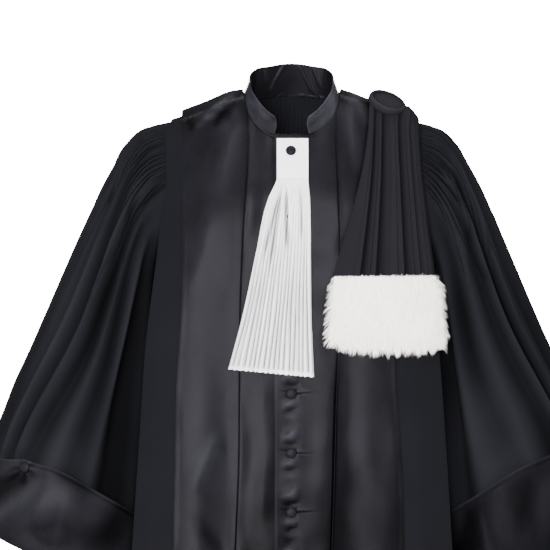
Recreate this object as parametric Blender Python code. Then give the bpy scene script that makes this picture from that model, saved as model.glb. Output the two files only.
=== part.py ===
"""Judicial robe with a pleated white neckpiece and a fur-ended shoulder sash, as it hangs on its wearer.

Metres, +Z up, the front faces -Y and the wearer's left is +X. The origin is midway between the two
points where the shoulder seams meet the collar, where the robe hangs on the shoulders. Heights on the
body are given as a drop: how far a point lies below the shoulder line, measured down the cloth's front.
"""
import math

import bmesh
import bpy
import numpy as np
from mathutils import Matrix, Vector

WOOL = 0.0015
SATIN = 0.0010
COTTON = 0.0010
SEAM = 0.0003

HEM_DROP = 1.380
NECK_HALF_WIDTH = 0.0725
NECK_SIDE_HEIGHT = 0.004
NECK_ROUNDING = 0.030
SHOULDER_SLOPE = 0.40
SHOULDER_FADE = 0.60
FRONT_SQUARENESS = 5.0
BACK_SQUARENESS = 2.6
FOLD_SHARE = 0.90
ARMHOLE_DROP = 0.240
ARMHOLE_TURN = 0.100
ARMHOLE_IN = 0.008
FOLD_CLEAR = 0.0060
FOLD_UNDERLAP = 0.020
NECK_BACK_DROP = 0.022
NECK_FRONT_FALL = 0.073
NECK_GAP_DEG = 21
COLLAR_THICK = 0.0020
BUTTON_RADIUS = 0.008
BUTTON_HEIGHT = 0.0045
FRONT_BUTTONS = 14
FRONT_BUTTON_X = -0.0015
FIRST_BUTTON_HEIGHT = -0.0915
SECOND_BUTTON_HEIGHT = -0.189
BUTTON_SPACING = 0.089
PLACKET_EDGE_X = -0.026
PLACKET_FLAT = 0.020
DISC_RADIUS = 0.0285
DISC_THICKNESS = 0.0135

SIDES = {"right": -1, "left": 1}


def table(columns, rows):
    """A short table: one array for each named column."""
    return dict(zip(columns.split(), np.array(rows, float).T))


# How deep the body is in front of and behind the shoulder line, and how wide at the side seam.
BODY = table("drop front back side", (
    (0.000, 0.0006, 0.0006, 0.198),
    (0.005, 0.026, 0.030, 0.199),
    (0.010, 0.036, 0.042, 0.200),
    (0.020, 0.048, 0.054, 0.201),
    (0.040, 0.062, 0.070, 0.202),
    (0.090, 0.084, 0.092, 0.204),
    (0.150, 0.105, 0.108, 0.205),
    (0.240, 0.122, 0.118, 0.206),
    (0.400, 0.135, 0.128, 0.210),
    (0.700, 0.150, 0.160, 0.220),
    (0.900, 0.160, 0.190, 0.246),
    (1.380, 0.190, 0.285, 0.345),
))

# The folded outer edge of the black front, where it stands over the armhole seam.
FOLD_EDGE = table("drop x", (
    (0.000, 0.1840),
    (0.014, 0.1901),
    (0.055, 0.1910),
    (0.105, 0.1906),
    (0.155, 0.1977),
    (0.240, 0.2067),
    (0.345, 0.2185),
    (0.530, 0.2305),
    (0.710, 0.2421),
    (1.380, 0.3084),
))

# Inner and outer edge of the satin facing on each front.
FACING = {
    "right": table("drop inner outer", (
        (0.000, 0.0660, 0.1680),
        (0.120, 0.0685, 0.1645),
        (0.210, 0.0750, 0.1646),
        (0.320, 0.0792, 0.1661),
        (0.430, 0.0805, 0.1736),
        (0.570, 0.0818, 0.1762),
        (0.710, 0.0877, 0.1798),
        (1.380, 0.1101, 0.2059),
    )),
    "left": table("drop inner outer", (
        (0.000, 0.0650, 0.1600),
        (0.100, 0.0681, 0.1569),
        (0.210, 0.0728, 0.1559),
        (0.430, 0.0698, 0.1571),
        (0.590, 0.0653, 0.1665),
        (0.710, 0.0599, 0.1687),
        (1.380, 0.0460, 0.1916),
    )),
}

# The sleeve's outer line, over the shoulder and down, and its inner line, down from the underarm.
SLEEVE = table("along outer_x outer_z inner_x inner_z front back", (
    (0.00, 0.1790, -0.046, 0.207, -0.277, 0.080, 0.060),
    (0.05, 0.222, -0.057, 0.210, -0.303, 0.079, 0.072),
    (0.10, 0.252, -0.082, 0.212, -0.328, 0.086, 0.082),
    (0.17, 0.276, -0.124, 0.215, -0.363, 0.098, 0.092),
    (0.30, 0.314, -0.205, 0.220, -0.427, 0.104, 0.104),
    (0.50, 0.371, -0.331, 0.227, -0.527, 0.110, 0.114),
    (0.75, 0.442, -0.489, 0.235, -0.651, 0.113, 0.118),
    (1.00, 0.512, -0.648, 0.243, -0.774, 0.112, 0.116),
))

# How far the sleeve's edge stands outside and above the armhole it is sewn to.
ARMHOLE_GAP = table("around out up", (
    (0, 0.0012, 0.0),
    (70, 0.0012, 0.0),
    (90, 0.0014, 0.002),
    (120, 0.0020, 0.002),
    (180, 0.0038, 0.002),
    (240, 0.0020, 0.002),
    (270, 0.0014, 0.001),
    (300, 0.0012, 0.0),
    (360, 0.0012, 0.0),
))

# Ridge and trough lines of each sleeve's folds: their place round the sleeve at its head, halfway and at
# its cuff, from 0 on top through 90 in front and 270 behind, and how far they stand from the plain form.
SLEEVE_FOLDS = {
    "right": table("head middle cuff stand", (
        (8, 10, 8, 0.004),
        (24, 26, 20, 0.002),
        (38, 41, 30, -0.006),
        (44, 51, 38, 0.009),
        (52, 59, 44, -0.011),
        (66, 66, 50, 0.010),
        (79, 79, 60, -0.014),
        (86, 88, 79, 0.009),
        (96, 101, 92, -0.006),
        (105, 108, 107, 0.007),
        (121, 119, 124, -0.017),
        (142, 150, 156, 0.002),
        (180, 180, 180, -0.002),
        (206, 205, 204, 0.006),
        (226, 224, 222, -0.012),
        (246, 243, 240, 0.010),
        (264, 261, 258, -0.012),
        (280, 278, 276, 0.010),
        (296, 295, 294, -0.010),
        (310, 310, 310, 0.009),
        (324, 326, 328, -0.008),
        (342, 344, 345, 0.004),
    )),
    "left": table("head middle cuff stand", (
        (8, 8, 8, 0.004),
        (22, 30, 22, -0.005),
        (34, 49, 36, 0.009),
        (46, 55, 42, -0.010),
        (54, 61, 47, 0.008),
        (62, 68, 53, -0.012),
        (77, 86, 76, 0.010),
        (98, 105, 92, -0.005),
        (109, 117, 116, 0.006),
        (128, 137, 138, -0.017),
        (146, 154, 158, 0.002),
        (180, 180, 180, -0.002),
        (204, 203, 202, 0.006),
        (222, 221, 220, -0.011),
        (240, 239, 238, 0.010),
        (258, 257, 256, -0.012),
        (276, 275, 274, 0.011),
        (292, 292, 292, -0.010),
        (308, 308, 308, 0.008),
        (322, 324, 326, -0.008),
        (336, 339, 342, 0.006),
        (350, 352, 354, -0.002),
    )),
}
SLEEVE_FOLD_GROWTH = table("along share", (
    (0.00, 0.0),
    (0.05, 0.10),
    (0.12, 0.45),
    (0.30, 0.95),
    (0.55, 1.10),
    (0.75, 0.90),
    (0.88, 0.40),
    (1.00, 0.0),
))
SLEEVE_ROWS = (0.075, 0.12, 0.20, 0.31, 0.44, 0.58, 0.72, 0.84, 0.93, 1.0)

# The turned-back cuff: how tall it is round the sleeve, and how far its top edge stands off.
CUFF = {
    "right": table("around height stand", (
        (0, 0.092, 0.012),
        (30, 0.100, 0.013),
        (58, 0.122, 0.010),
        (66, 0.124, 0.010),
        (80, 0.112, 0.012),
        (120, 0.108, 0.013),
        (180, 0.112, 0.012),
        (270, 0.108, 0.013),
        (360, 0.092, 0.012),
    )),
    "left": table("around height stand", (
        (0, 0.104, 0.012),
        (30, 0.118, 0.013),
        (50, 0.138, 0.010),
        (58, 0.136, 0.010),
        (90, 0.122, 0.012),
        (130, 0.112, 0.013),
        (180, 0.112, 0.012),
        (270, 0.108, 0.013),
        (360, 0.104, 0.012),
    )),
}
CUFF_BUTTON_DEG = {"right": 62, "left": 54}
CUFF_BUTTON_BELOW_EDGE = 0.011

# Cartridge pleats over the head of each sleeve.
HEAD_RIBS = 24
HEAD_FROM_DEG = -78
HEAD_TO_DEG = 78
HEAD_RIB_HEIGHT = 0.0016

# Organ-pipe pleats of the back, gathered under the collar.
BACK_PLEATS = 16
BACK_GATHER_HALF = 0.088
BACK_PLEAT_DEPTH = table("drop depth", (
    (0.000, 0.0006),
    (0.050, 0.0014),
    (0.100, 0.0045),
    (0.250, 0.0070),
    (0.600, 0.0110),
    (1.380, 0.0190),
))
BACK_ROWS = (0, 0.03, 0.08, 0.14, 0.175, 0.25, 0.42, 0.66, 1.0)

# The white neckpiece: a plain tab, then a fall of narrow pleats.
TAB = {"left_x": -0.0225, "right_x": 0.0245, "top": -0.070, "bottom": -0.1335}
RABAT_PLEATS = 17
RABAT_PLEAT_DEPTH = 0.0032
RABAT = table("along left right height_left height_right", (
    (0.00, -0.0249, 0.0254, -0.134, -0.134),
    (0.15, -0.0410, 0.0273, -0.181, -0.181),
    (0.33, -0.0525, 0.0282, -0.237, -0.237),
    (0.67, -0.0719, 0.0291, -0.328, -0.332),
    (1.00, -0.0955, 0.0330, -0.419, -0.431),
))

# Knife pleats of the shoulder sash: where each line starts at the disc and ends at the fur.
SASH = table("top bottom stand", (
    (0.1168, 0.0680, 0.000),
    (0.1228, 0.1010, 0.005),
    (0.1247, 0.1039, 0.001),
    (0.1346, 0.1243, 0.005),
    (0.1366, 0.1272, 0.001),
    (0.1485, 0.1476, 0.004),
    (0.1584, 0.1670, 0.005),
    (0.1604, 0.1699, 0.001),
    (0.1752, 0.1903, 0.005),
    (0.1772, 0.1932, 0.002),
    (0.1851, 0.2029, 0.005),
    (0.1930, 0.2136, 0.001),
))
SASH_END_HEIGHT = -0.279
FUR = {"top": -0.2797, "bottom": -0.396, "left_top": 0.060, "right_top": 0.219,
       "left_bottom": 0.051, "right_bottom": 0.230, "thick": 0.024}

# Stand collar: how far it rises and leans in, round from the front opening to the back.
COLLAR = table("around rise lean", (
    (20, 0.025, 0.016),
    (60, 0.026, 0.013),
    (90, 0.0225, 0.008),
    (105, 0.034, 0.008),
    (124, 0.045, 0.009),
    (150, 0.048, 0.010),
    (180, 0.048, 0.010),
))
COLLAR_CLEAR = 0.0026
COLLAR_DEGREES = (21, 22.5, 25, 30, 38, 48, 60, 74, 90, 106, 124, 142, 161, 180,
                  199, 218, 236, 254, 270, 286, 300, 312, 322, 330, 335, 337.5, 339)
COLLAR_ROWS = (0, 0.35, 0.7, 1)
OPEN_NECK_HALF = 0.026

# Where the layers of the front stand: the wearer's left front laps over the right one.
FRONT_LAYERS = {"right": 0.0, "left": SEAM + SATIN}
FRONT_ROWS = (0, 0.0036, 0.0075, 0.014, 0.026, 0.045, 0.08, 0.13, 0.20, 0.30, 0.42, 0.56, 0.76, 1)
FACING_PLACES = (1, 1.06, 1.12, 1.35, 1.6, 1.8, 2)
WOOL_PLACES = (1.123, 1.35, 1.6, 1.8, 2, 2.25, 2.5, 2.75, 3)
CENTRE_PLACES = (0.55, 0.8, 1, 1.06, 1.12)
LAP_COLUMNS = (PLACKET_EDGE_X, -0.013, 0, 0.022)
SIDE_TURNS = (-0.9, -0.4, 0, 0.12, 0.25, 0.4, 0.55, 0.7, 0.85, 0.996)
SIDE_ROWS = (0, 0.0921, 0.2979, 0.5884, 1)
BACK_PLAIN = (0.3, 0.6, 0.85, 1)
BACK_SPREAD = 0.93
HEAD_ROWS = (0, 0.022, 0.045)
SLEEVE_LENGTH = 0.610
MIDDLE_ALONG = 0.4
CUFF_THICK = 0.0012
CUFF_HEM_STAND = 0.0022
CUFF_COLUMNS = 36
CUFF_ROWS = (-0.02, 0.08, 0.35, 0.7, 1)
BUTTON_SEAT = 0.0004
BUTTON_SIDES = 12
BUTTON_PROFILE = ((0.82, 0), (1.0, 0.38), (0.74, 0.86))
TAB_THICK = 0.0014
RABAT_ROWS = (0, 0.07, 0.17, 0.36, 0.66, 1)
RABAT_WAVE = (0.0, 1.0, 0.85)
RABAT_CLEAR = 0.0072
SASH_ROWS = (0, 0.015, 0.04, 0.075, 0.13, 0.21, 0.36, 0.64, 1)
SASH_TOP_DROP = 0.002
FOLD_HOLD = 0.96
PAST_FOLD_SLOPE = 0.5
SASH_OUT = 0.0058
SASH_REST_OUT = {"front": 0.0035, "back": 0.0009}
SASH_LEFT = {"top": 0.118, "bottom": 0.070}
SASH_BACK_SHARE = {"top": 0.86, "bottom": 0.72}
FUR_BACK_EDGE = 0.188
FUR_OUT = {"front": 0.0034, "back": 0.0018}
FUR_COLUMNS = 11
FUR_ROWS = (0, 0.08, 0.25, 0.5, 0.75, 0.92, 1)
DISC_X = 0.1415
DISC_DROP = 0.004
DISC_CLEAR = 0.0024
DISC_SIDES = 28
DISC_PROFILE = ((0.90, 0), (1.0, 0.18), (1.0, 0.78), (0.90, 1.0))

# Colours and gloss of the cloths.
FINISHES = {
    "wool": ((0.016, 0.016, 0.019), 0.85),
    "satin": ((0.030, 0.029, 0.034), 0.38),
    "cotton": ((0.80, 0.80, 0.83), 0.75),
    "fur": ((0.85, 0.82, 0.79), 0.90),
}


def ease(t):
    t = np.clip(t, 0, 1)
    return t * t * (3 - 2 * t)


def read(rows, column, at):
    """A smooth curve through one column of a table, read along its first column."""
    places = rows[next(iter(rows))]
    values = rows[column]
    slopes = np.gradient(values, places)
    at = np.clip(at, places[0], places[-1])
    i = np.clip(np.searchsorted(places, at, side="right") - 1, 0, len(places) - 2)
    gap = places[i + 1] - places[i]
    t = (at - places[i]) / gap
    return (
        (1 + 2 * t) * (1 - t) ** 2 * values[i]
        + t * (1 - t) ** 2 * gap * slopes[i]
        + t * t * (3 - 2 * t) * values[i + 1]
        + t * t * (t - 1) * gap * slopes[i + 1]
    )


def shoulder_height(x):
    return NECK_SIDE_HEIGHT - SHOULDER_SLOPE * (np.hypot(x, NECK_ROUNDING) - NECK_HALF_WIDTH)


def height(x, drop):
    """The height of a point that lies this drop below the shoulder line."""
    return shoulder_height(x) * (1 - ease(drop / SHOULDER_FADE)) - drop


def drop_at(x, z):
    """The drop of a point on the body at this height."""
    drop = np.maximum(shoulder_height(x) - z, 0)
    for _ in range(12):
        drop = np.maximum(shoulder_height(x) * (1 - ease(drop / SHOULDER_FADE)) - z, 0)
    return drop


def front(x, drop):
    """A point of the front's form, which is flat across and rounds away at the fold edge."""
    x, drop = np.broadcast_arrays(np.asarray(x, float), np.asarray(drop, float))
    wide = read(FOLD_EDGE, "x", drop) / FOLD_SHARE
    share = 1 - np.clip(np.abs(x) / wide, 0, 0.999) ** FRONT_SQUARENESS
    y = -read(BODY, "front", drop) * share ** (1 / FRONT_SQUARENESS)
    return np.stack([x, y, height(x, drop)], axis=-1)


def armhole_share(drop):
    """How much of the body's depth is left at the armhole's edge, 1 above its turn and 0 at the underarm."""
    turn = np.clip((drop - ARMHOLE_TURN) / (ARMHOLE_DROP - ARMHOLE_TURN), 0, 1)
    return np.sqrt(1 - turn * turn)


def side(turn, drop):
    """A point of the side panel: turn runs from -1 under the front through 0 at its fold to 1 at the side seam."""
    turn, drop = np.broadcast_arrays(np.asarray(turn, float), np.asarray(drop, float))
    start_x = read(FOLD_EDGE, "x", drop) - ARMHOLE_IN
    start = lifted(front, start_x + FOLD_UNDERLAP * np.minimum(turn, 0), drop, -FOLD_CLEAR)
    angle = np.clip(turn, 0, 1) * math.pi / 2
    x = start[..., 0] + (read(BODY, "side", drop) - start[..., 0]) * np.sin(angle)
    y = start[..., 1] * np.cos(angle)
    z = height(x, drop) + (start[..., 2] - height(start[..., 0], drop)) * np.cos(angle)
    return np.stack([x, y, z], axis=-1)


def back(across, drop):
    """A point of the back's form: across is 0 at its middle and 1 at the side seam or the armhole."""
    across, drop = np.broadcast_arrays(np.asarray(across, float), np.asarray(drop, float))
    wide = read(BODY, "side", drop)
    deep = read(BODY, "back", drop)
    blade = (1 - (0.187 / wide) ** BACK_SQUARENESS) ** (1 / BACK_SQUARENESS)
    edge = np.arccos(np.clip((blade * armhole_share(drop)) ** (BACK_SQUARENESS / 2), 0, 1))
    m = np.abs(across)
    by_width = np.arcsin(np.clip(m * np.sin(edge) ** (2 / BACK_SQUARENESS), 0, 1) ** (BACK_SQUARENESS / 2))
    by_angle = edge * m ** (BACK_SQUARENESS / 2)
    low = ease(drop / 0.5)
    angle = (1 - low) * by_width + low * by_angle
    x = np.sign(across) * wide * np.sin(angle) ** (2 / BACK_SQUARENESS)
    y = deep * np.clip(np.cos(angle), 0, 1) ** (2 / BACK_SQUARENESS)
    return np.stack([x, y, height(x, drop)], axis=-1)


def armhole(degrees):
    """A point of the left sleeve's edge, from 0 on the shoulder through 90 in front and 270 behind."""
    degrees = np.asarray(degrees, float) % 360
    around = np.radians(degrees)
    drop = ARMHOLE_DROP / 2 * (1 - np.cos(around))
    turn = np.arccos(armhole_share(drop)) / (math.pi / 2)
    in_front = side(turn, drop)
    behind = back(1.0, drop)
    behind[..., 2] -= FOLD_CLEAR * ease((degrees - 335) / 25)
    point = np.where((around < math.pi)[..., None], in_front, behind)
    point[..., 0] += read(ARMHOLE_GAP, "out", degrees)
    point[..., 2] += read(ARMHOLE_GAP, "up", degrees)
    return point


def tube(degrees, along):
    """The sleeve as a plain tube between its outer and inner lines."""
    around = np.radians(degrees)
    part = {name: read(SLEEVE, name, along) for name in SLEEVE}
    middle_x = (part["outer_x"] + part["inner_x"]) / 2
    middle_z = (part["outer_z"] + part["inner_z"]) / 2
    reach = np.cos(around)
    deep = np.where(np.sin(around) > 0, part["front"], part["back"])
    x = middle_x + (part["outer_x"] - middle_x) * reach
    z = middle_z + (part["outer_z"] - middle_z) * reach
    y = -deep * np.sign(np.sin(around)) * np.abs(np.sin(around)) ** 0.9
    return np.stack([x, y, z], axis=-1)


def sleeve(degrees, along):
    """A point of the left sleeve's plain form, from the armhole at along 0 to the cuff's hem at 1."""
    degrees, along = np.broadcast_arrays(np.asarray(degrees, float), np.asarray(along, float))
    held = 1 - ease(along / 0.20)[..., None]
    return tube(degrees, along) + held * (armhole(degrees) - tube(degrees, 0 * along))


def mirrored(surface, sign):
    """The same form on the other side of the body."""
    def there(a, b):
        return surface(a, b) * np.array([sign, 1, 1])
    return there


def lifted(surface, a, b, out, step=0.0005, facing=1):
    """Points of a form moved out along its normal."""
    a, b, out = np.broadcast_arrays(*(np.asarray(v, float) for v in (a, b, out)))
    low = np.maximum(b - step, 0)
    across = surface(a + step, b) - surface(a - step, b)
    down = surface(a, b + step) - surface(a, low)
    normal = np.cross(down, across) * facing
    normal /= np.maximum(np.linalg.norm(normal, axis=-1, keepdims=True), 1e-12)
    return surface(a, b) + normal * out[..., None]


def finish(name):
    """The Principled material of one cloth."""
    colour, roughness = FINISHES[name]
    material = bpy.data.materials.get(name) or bpy.data.materials.new(name)
    material.use_nodes = True
    shader = material.node_tree.nodes["Principled BSDF"]
    shader.inputs["Base Color"].default_value = (*colour, 1)
    shader.inputs["Roughness"].default_value = roughness
    shader.inputs["Metallic"].default_value = 0
    return material


def add(name, cloth, bm):
    """One named object of the robe from a finished bmesh."""
    bmesh.ops.recalc_face_normals(bm, faces=bm.faces)
    mesh = bpy.data.meshes.new(name)
    bm.to_mesh(mesh)
    bm.free()
    mesh.shade_smooth()
    mesh.set_sharp_from_angle(angle=math.radians(40))
    mesh.materials.append(finish(cloth))
    made = bpy.data.objects.new(name, mesh)
    bpy.context.scene.collection.objects.link(made)
    return made


def wall(name, cloth, outer, inner, round_it=False):
    """A closed wall of cloth between two grids of points, cut into the same triangles, its rims joined."""
    bm = bmesh.new()
    grids = [[[bm.verts.new(p) for p in row] for row in grid] for grid in (outer, inner)]
    rows, columns = outer.shape[:2]
    spans = columns if round_it else columns - 1
    for grid, turned in zip(grids, (False, True)):
        for r in range(rows - 1):
            for c in range(spans):
                d = (c + 1) % columns
                a, b, e, f = grid[r][c], grid[r][d], grid[r + 1][d], grid[r + 1][c]
                for corners in ((a, b, e), (a, e, f)):
                    bm.faces.new(corners[::-1] if turned else corners)
    top, below = grids
    for r in (0, rows - 1):
        for c in range(spans):
            d = (c + 1) % columns
            bm.faces.new((top[r][c], top[r][d], below[r][d], below[r][c]))
    if not round_it:
        for c in (0, columns - 1):
            for r in range(rows - 1):
                bm.faces.new((top[r][c], top[r + 1][c], below[r + 1][c], below[r][c]))
    return add(name, cloth, bm)


def neckline_height(x):
    """The height of the collar seam in front, at this distance from the middle."""
    around = np.arcsin(np.clip(np.abs(x) / NECK_HALF_WIDTH, 0, 1))
    return NECK_SIDE_HEIGHT - NECK_FRONT_FALL * np.cos(around) ** 0.85


def front_top(x):
    """The drop where a front piece starts: the collar seam near the neck, and the shoulder seam beyond."""
    on_neck = drop_at(x, neckline_height(np.maximum(np.abs(x), OPEN_NECK_HALF)))
    return np.where(np.abs(x) < NECK_HALF_WIDTH, on_neck, 0.0)


def back_top(x):
    """The drop where the back starts under the collar."""
    return NECK_BACK_DROP * np.sqrt(np.clip(1 - (x / NECK_HALF_WIDTH) ** 2, 0, 1))


def front_drape(x, drop):
    """Soft upright folds of the front, the same for every layer that lies there."""
    fold = read(FOLD_EDGE, "x", drop)
    grown = ease(drop / 0.9) * (1 - ease((np.abs(x) / fold - 0.78) / 0.14))
    grown = grown * ease((np.abs(x) - PLACKET_FLAT) / 0.05)
    return grown * (0.0035 * np.sin(x * 38 + 0.9) + 0.0022 * np.sin(x * 71 - 0.8))


def across_front(side_name, place, drop):
    """Distance from the middle: place is 0 there, 1 and 2 at the facing's edges and 3 at the fold edge."""
    facing = FACING[side_name]
    edges = [0 * drop, read(facing, "inner", drop), read(facing, "outer", drop), read(FOLD_EDGE, "x", drop)]
    step = np.clip(np.floor(place), 0, 2).astype(int)
    part = place - step
    low = np.choose(step, edges[:3])
    high = np.choose(step, edges[1:])
    return low + (high - low) * part


def front_piece(name, cloth, side_name, places, out, thick, middle=()):
    """A piece of one front: columns at distances from the middle, then at places across it."""
    sign = SIDES[side_name]
    place = np.asarray(places, float)[None, :]
    down = np.asarray(FRONT_ROWS, float)[:, None]
    near = np.asarray(middle, float)[None, :] + 0 * down
    columns = len(middle) + len(places)
    drop = down * HEM_DROP + np.zeros((1, columns))
    for _ in range(6):
        placed_drop = drop[:, len(middle):] if sign > 0 else drop[:, :len(places)][:, ::-1]
        across = sign * across_front(side_name, place + 0 * down, placed_drop)
        x = np.concatenate([near, across] if sign > 0 else [across[:, ::-1], near], axis=1)
        top = front_top(x)
        drop = top + (HEM_DROP - top) * down
    stand = out + front_drape(x, drop)
    return wall(name, cloth, lifted(front, x, drop, stand), lifted(front, x, drop, stand - thick))


def make_fronts():
    for side_name in SIDES:
        base = FRONT_LAYERS[side_name]
        front_piece(f"front_{side_name}", "wool", side_name, WOOL_PLACES, base, WOOL)
        front_piece(f"facing_{side_name}", "satin", side_name, FACING_PLACES, base + SEAM + SATIN, SATIN)
    under, over = FRONT_LAYERS["right"], FRONT_LAYERS["left"]
    front_piece("front_centre_under", "satin", "right", CENTRE_PLACES, under, SATIN, LAP_COLUMNS)
    front_piece("front_centre_over", "satin", "left", CENTRE_PLACES, over, SATIN, LAP_COLUMNS)


def make_sides():
    """The narrow panel under each arm, from behind the fold edge to the side seam."""
    turn = np.array(SIDE_TURNS, float)[None, :]
    bend = np.sin(np.clip(turn, 0, 1) * math.pi / 2)
    top = ARMHOLE_TURN + (ARMHOLE_DROP - ARMHOLE_TURN) * bend + SEAM
    down = np.array(SIDE_ROWS, float)[:, None]
    drop = top + (HEM_DROP - top) * down
    for side_name, sign in SIDES.items():
        form = mirrored(side, sign)
        outer = lifted(form, turn, drop, 0, facing=sign)
        inner = lifted(form, turn, drop, -WOOL, facing=sign)
        wall(f"side_{side_name}", "wool", outer, inner)


def back_columns():
    """Pleat numbers across one half of the back, four columns to a pleat, then the plain cloth beyond."""
    pleats = np.linspace(0, BACK_PLEATS / 2, BACK_PLEATS * 2 + 1)
    beyond = np.array(BACK_PLAIN, float)
    return pleats, beyond


def make_backs():
    pleats, beyond = back_columns()
    half = BACK_PLEATS / 2
    down = np.array(BACK_ROWS, float)[:, None]
    gathered = BACK_GATHER_HALF / FOLD_EDGE["x"][0]
    drop = down * HEM_DROP + 0 * np.concatenate([pleats, beyond])[None, :]
    for _ in range(6):
        last = gathered + (BACK_SPREAD - gathered) * ease(drop / 0.5)
        inside = last[:, : len(pleats)] * pleats / half
        outside = last[:, len(pleats):] + (1 - last[:, len(pleats):]) * beyond
        across = np.concatenate([inside, outside], axis=1)
        x = back(across, drop)[..., 0]
        top = back_top(x)
        drop = top + (HEM_DROP - top) * down
    number = np.concatenate([pleats, half + 0 * beyond])[None, :]
    fade = np.concatenate([1 + 0 * pleats, 1 - beyond])[None, :]
    stand = read(BACK_PLEAT_DEPTH, "depth", drop) * (1 - np.cos(2 * math.pi * number)) / 2 * fade
    centre = SEAM / 2 / read(BODY, "side", drop)
    across = np.maximum(across, centre)
    for side_name, sign in SIDES.items():
        form = mirrored(back, sign)
        outer = lifted(form, across, drop, stand, facing=-sign)
        inner = lifted(form, across, drop, stand - WOOL, facing=-sign)
        outer[:, 0, 0] = inner[:, 0, 0] = sign * SEAM
        wall(f"back_{side_name}", "wool", outer, inner)


def neck_seam(degrees):
    """A point of the collar seam, from 0 at the front through 90 at the wearer's left side."""
    around = np.radians(degrees)
    x = NECK_HALF_WIDTH * np.sin(around)
    in_front = np.cos(around) > 0
    ahead = front(x, drop_at(x, neckline_height(x)))
    behind_drop = back_top(x)
    level = height(x, behind_drop)
    deep = read(BODY, "back", behind_drop)
    behind = np.stack([x, deep, level], axis=-1)
    return np.where(in_front[..., None], ahead, behind)


def collar_point(degrees, up):
    """A point of the stand collar's outer face: up is 0 at its seam and 1 at its top edge."""
    seam = neck_seam(degrees)
    from_front = np.minimum(degrees, 360 - degrees)
    rise = read(COLLAR, "rise", from_front)
    lean = read(COLLAR, "lean", from_front)
    middle = np.array([0, -0.012, 0])
    inward = middle - seam
    inward[..., 2] = 0
    inward /= np.linalg.norm(inward, axis=-1, keepdims=True)
    lift = np.zeros_like(seam)
    lift[..., 2] = rise
    start = (COLLAR_CLEAR / rise)[..., None]
    return seam + (start + up[..., None]) * (inward * lean[..., None] + lift)


def make_collar():
    degrees = np.array(COLLAR_DEGREES, float)[None, :]
    up = np.array(COLLAR_ROWS, float)[:, None] + 0 * degrees
    from_front = np.minimum(degrees, 360 - degrees)
    corner = 1 - 0.36 * np.clip(1 - (from_front - NECK_GAP_DEG) / 7, 0, 1) ** 2
    up = up * corner
    degrees = degrees + 0 * up
    outer = collar_point(degrees, up)
    run = collar_point(degrees + 0.5, up) - collar_point(degrees - 0.5, up)
    rise = collar_point(degrees, up + 0.05) - collar_point(degrees, up - 0.05)
    normal = np.cross(run, rise)
    normal /= np.linalg.norm(normal, axis=-1, keepdims=True)
    wall("collar", "satin", outer, outer - COLLAR_THICK * normal)


def fold_lines(side_name):
    """Columns of a sleeve: each ridge and trough of its folds and the places between them."""
    folds = SLEEVE_FOLDS[side_name]
    columns = {}
    for name, turn in (("head", 360), ("middle", 360), ("cuff", 360), ("stand", 0)):
        closed = np.append(folds[name], folds[name][0] + turn)
        between = (closed[1:] + closed[:-1]) / 2
        columns[name] = np.stack([folds[name], between], axis=1).ravel()
    return columns


def sleeve_ring(side_name, along):
    """Degrees and outward stand of a sleeve's columns at one place down it."""
    lines = fold_lines(side_name)
    moved = lines["head"] + (lines["middle"] - lines["head"]) * ease(along / MIDDLE_ALONG)
    moved = moved + (lines["cuff"] - lines["middle"]) * ease((along - MIDDLE_ALONG) / MIDDLE_ALONG)
    return moved, lines["stand"] * read(SLEEVE_FOLD_GROWTH, "share", np.array(along))


def rib_ring(side_name, along):
    """The same at the gathered head, where fine ribs stand on the outer face."""
    head = fold_lines(side_name)["head"]
    plain = head[(head > HEAD_TO_DEG) & (head < 360 + HEAD_FROM_DEG)]
    ribs = np.linspace(HEAD_FROM_DEG, HEAD_TO_DEG, 2 * HEAD_RIBS + 1)
    wave = HEAD_RIB_HEIGHT * (np.arange(len(ribs)) % 2)
    degrees = np.concatenate([ribs, plain])
    order = np.argsort(degrees % 360, kind="stable")
    return (degrees % 360)[order], np.concatenate([wave, 0 * plain])[order]


def strip(bm, upper, upper_at, lower, lower_at, turned):
    """Triangles between two closed rings of points that may differ in number."""
    i = j = 0
    m, n = len(upper), len(lower)
    while i < m or j < n:
        next_upper = upper_at[(i + 1) % m] + (360 if i + 1 >= m else 0)
        next_lower = lower_at[(j + 1) % n] + (360 if j + 1 >= n else 0)
        if j >= n or (i < m and next_upper <= next_lower):
            corners = (upper[i % m], upper[(i + 1) % m], lower[j % n])
            i += 1
        else:
            corners = (upper[i % m], lower[(j + 1) % n], lower[j % n])
            j += 1
        bm.faces.new(corners[::-1] if turned else corners)


def make_sleeve(side_name, sign):
    form = mirrored(sleeve, sign)
    rings = []
    for along in HEAD_ROWS:
        degrees, rib = rib_ring(side_name, along)
        rings.append((degrees, along, rib, 0 * rib))
    for along in SLEEVE_ROWS:
        degrees, stand = sleeve_ring(side_name, along)
        rings.append((degrees, along, stand, stand))
    bm = bmesh.new()
    outer, inner = [], []
    for degrees, along, raised, plain in rings:
        outside = lifted(form, degrees, along, raised, facing=-sign, step=0.01)
        inside = lifted(form, degrees, along, plain - WOOL, facing=-sign, step=0.01)
        outer.append([bm.verts.new(p) for p in outside])
        inner.append([bm.verts.new(p) for p in inside])
    places = [ring[0] for ring in rings]
    for r in range(len(rings) - 1):
        strip(bm, outer[r], places[r], outer[r + 1], places[r + 1], False)
        strip(bm, inner[r], places[r], inner[r + 1], places[r + 1], True)
    for r in (0, len(rings) - 1):
        n = len(outer[r])
        for c in range(n):
            d = (c + 1) % n
            bm.faces.new((outer[r][c], outer[r][d], inner[r][d], inner[r][c]))
    add(f"sleeve_{side_name}", "wool", bm)


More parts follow.
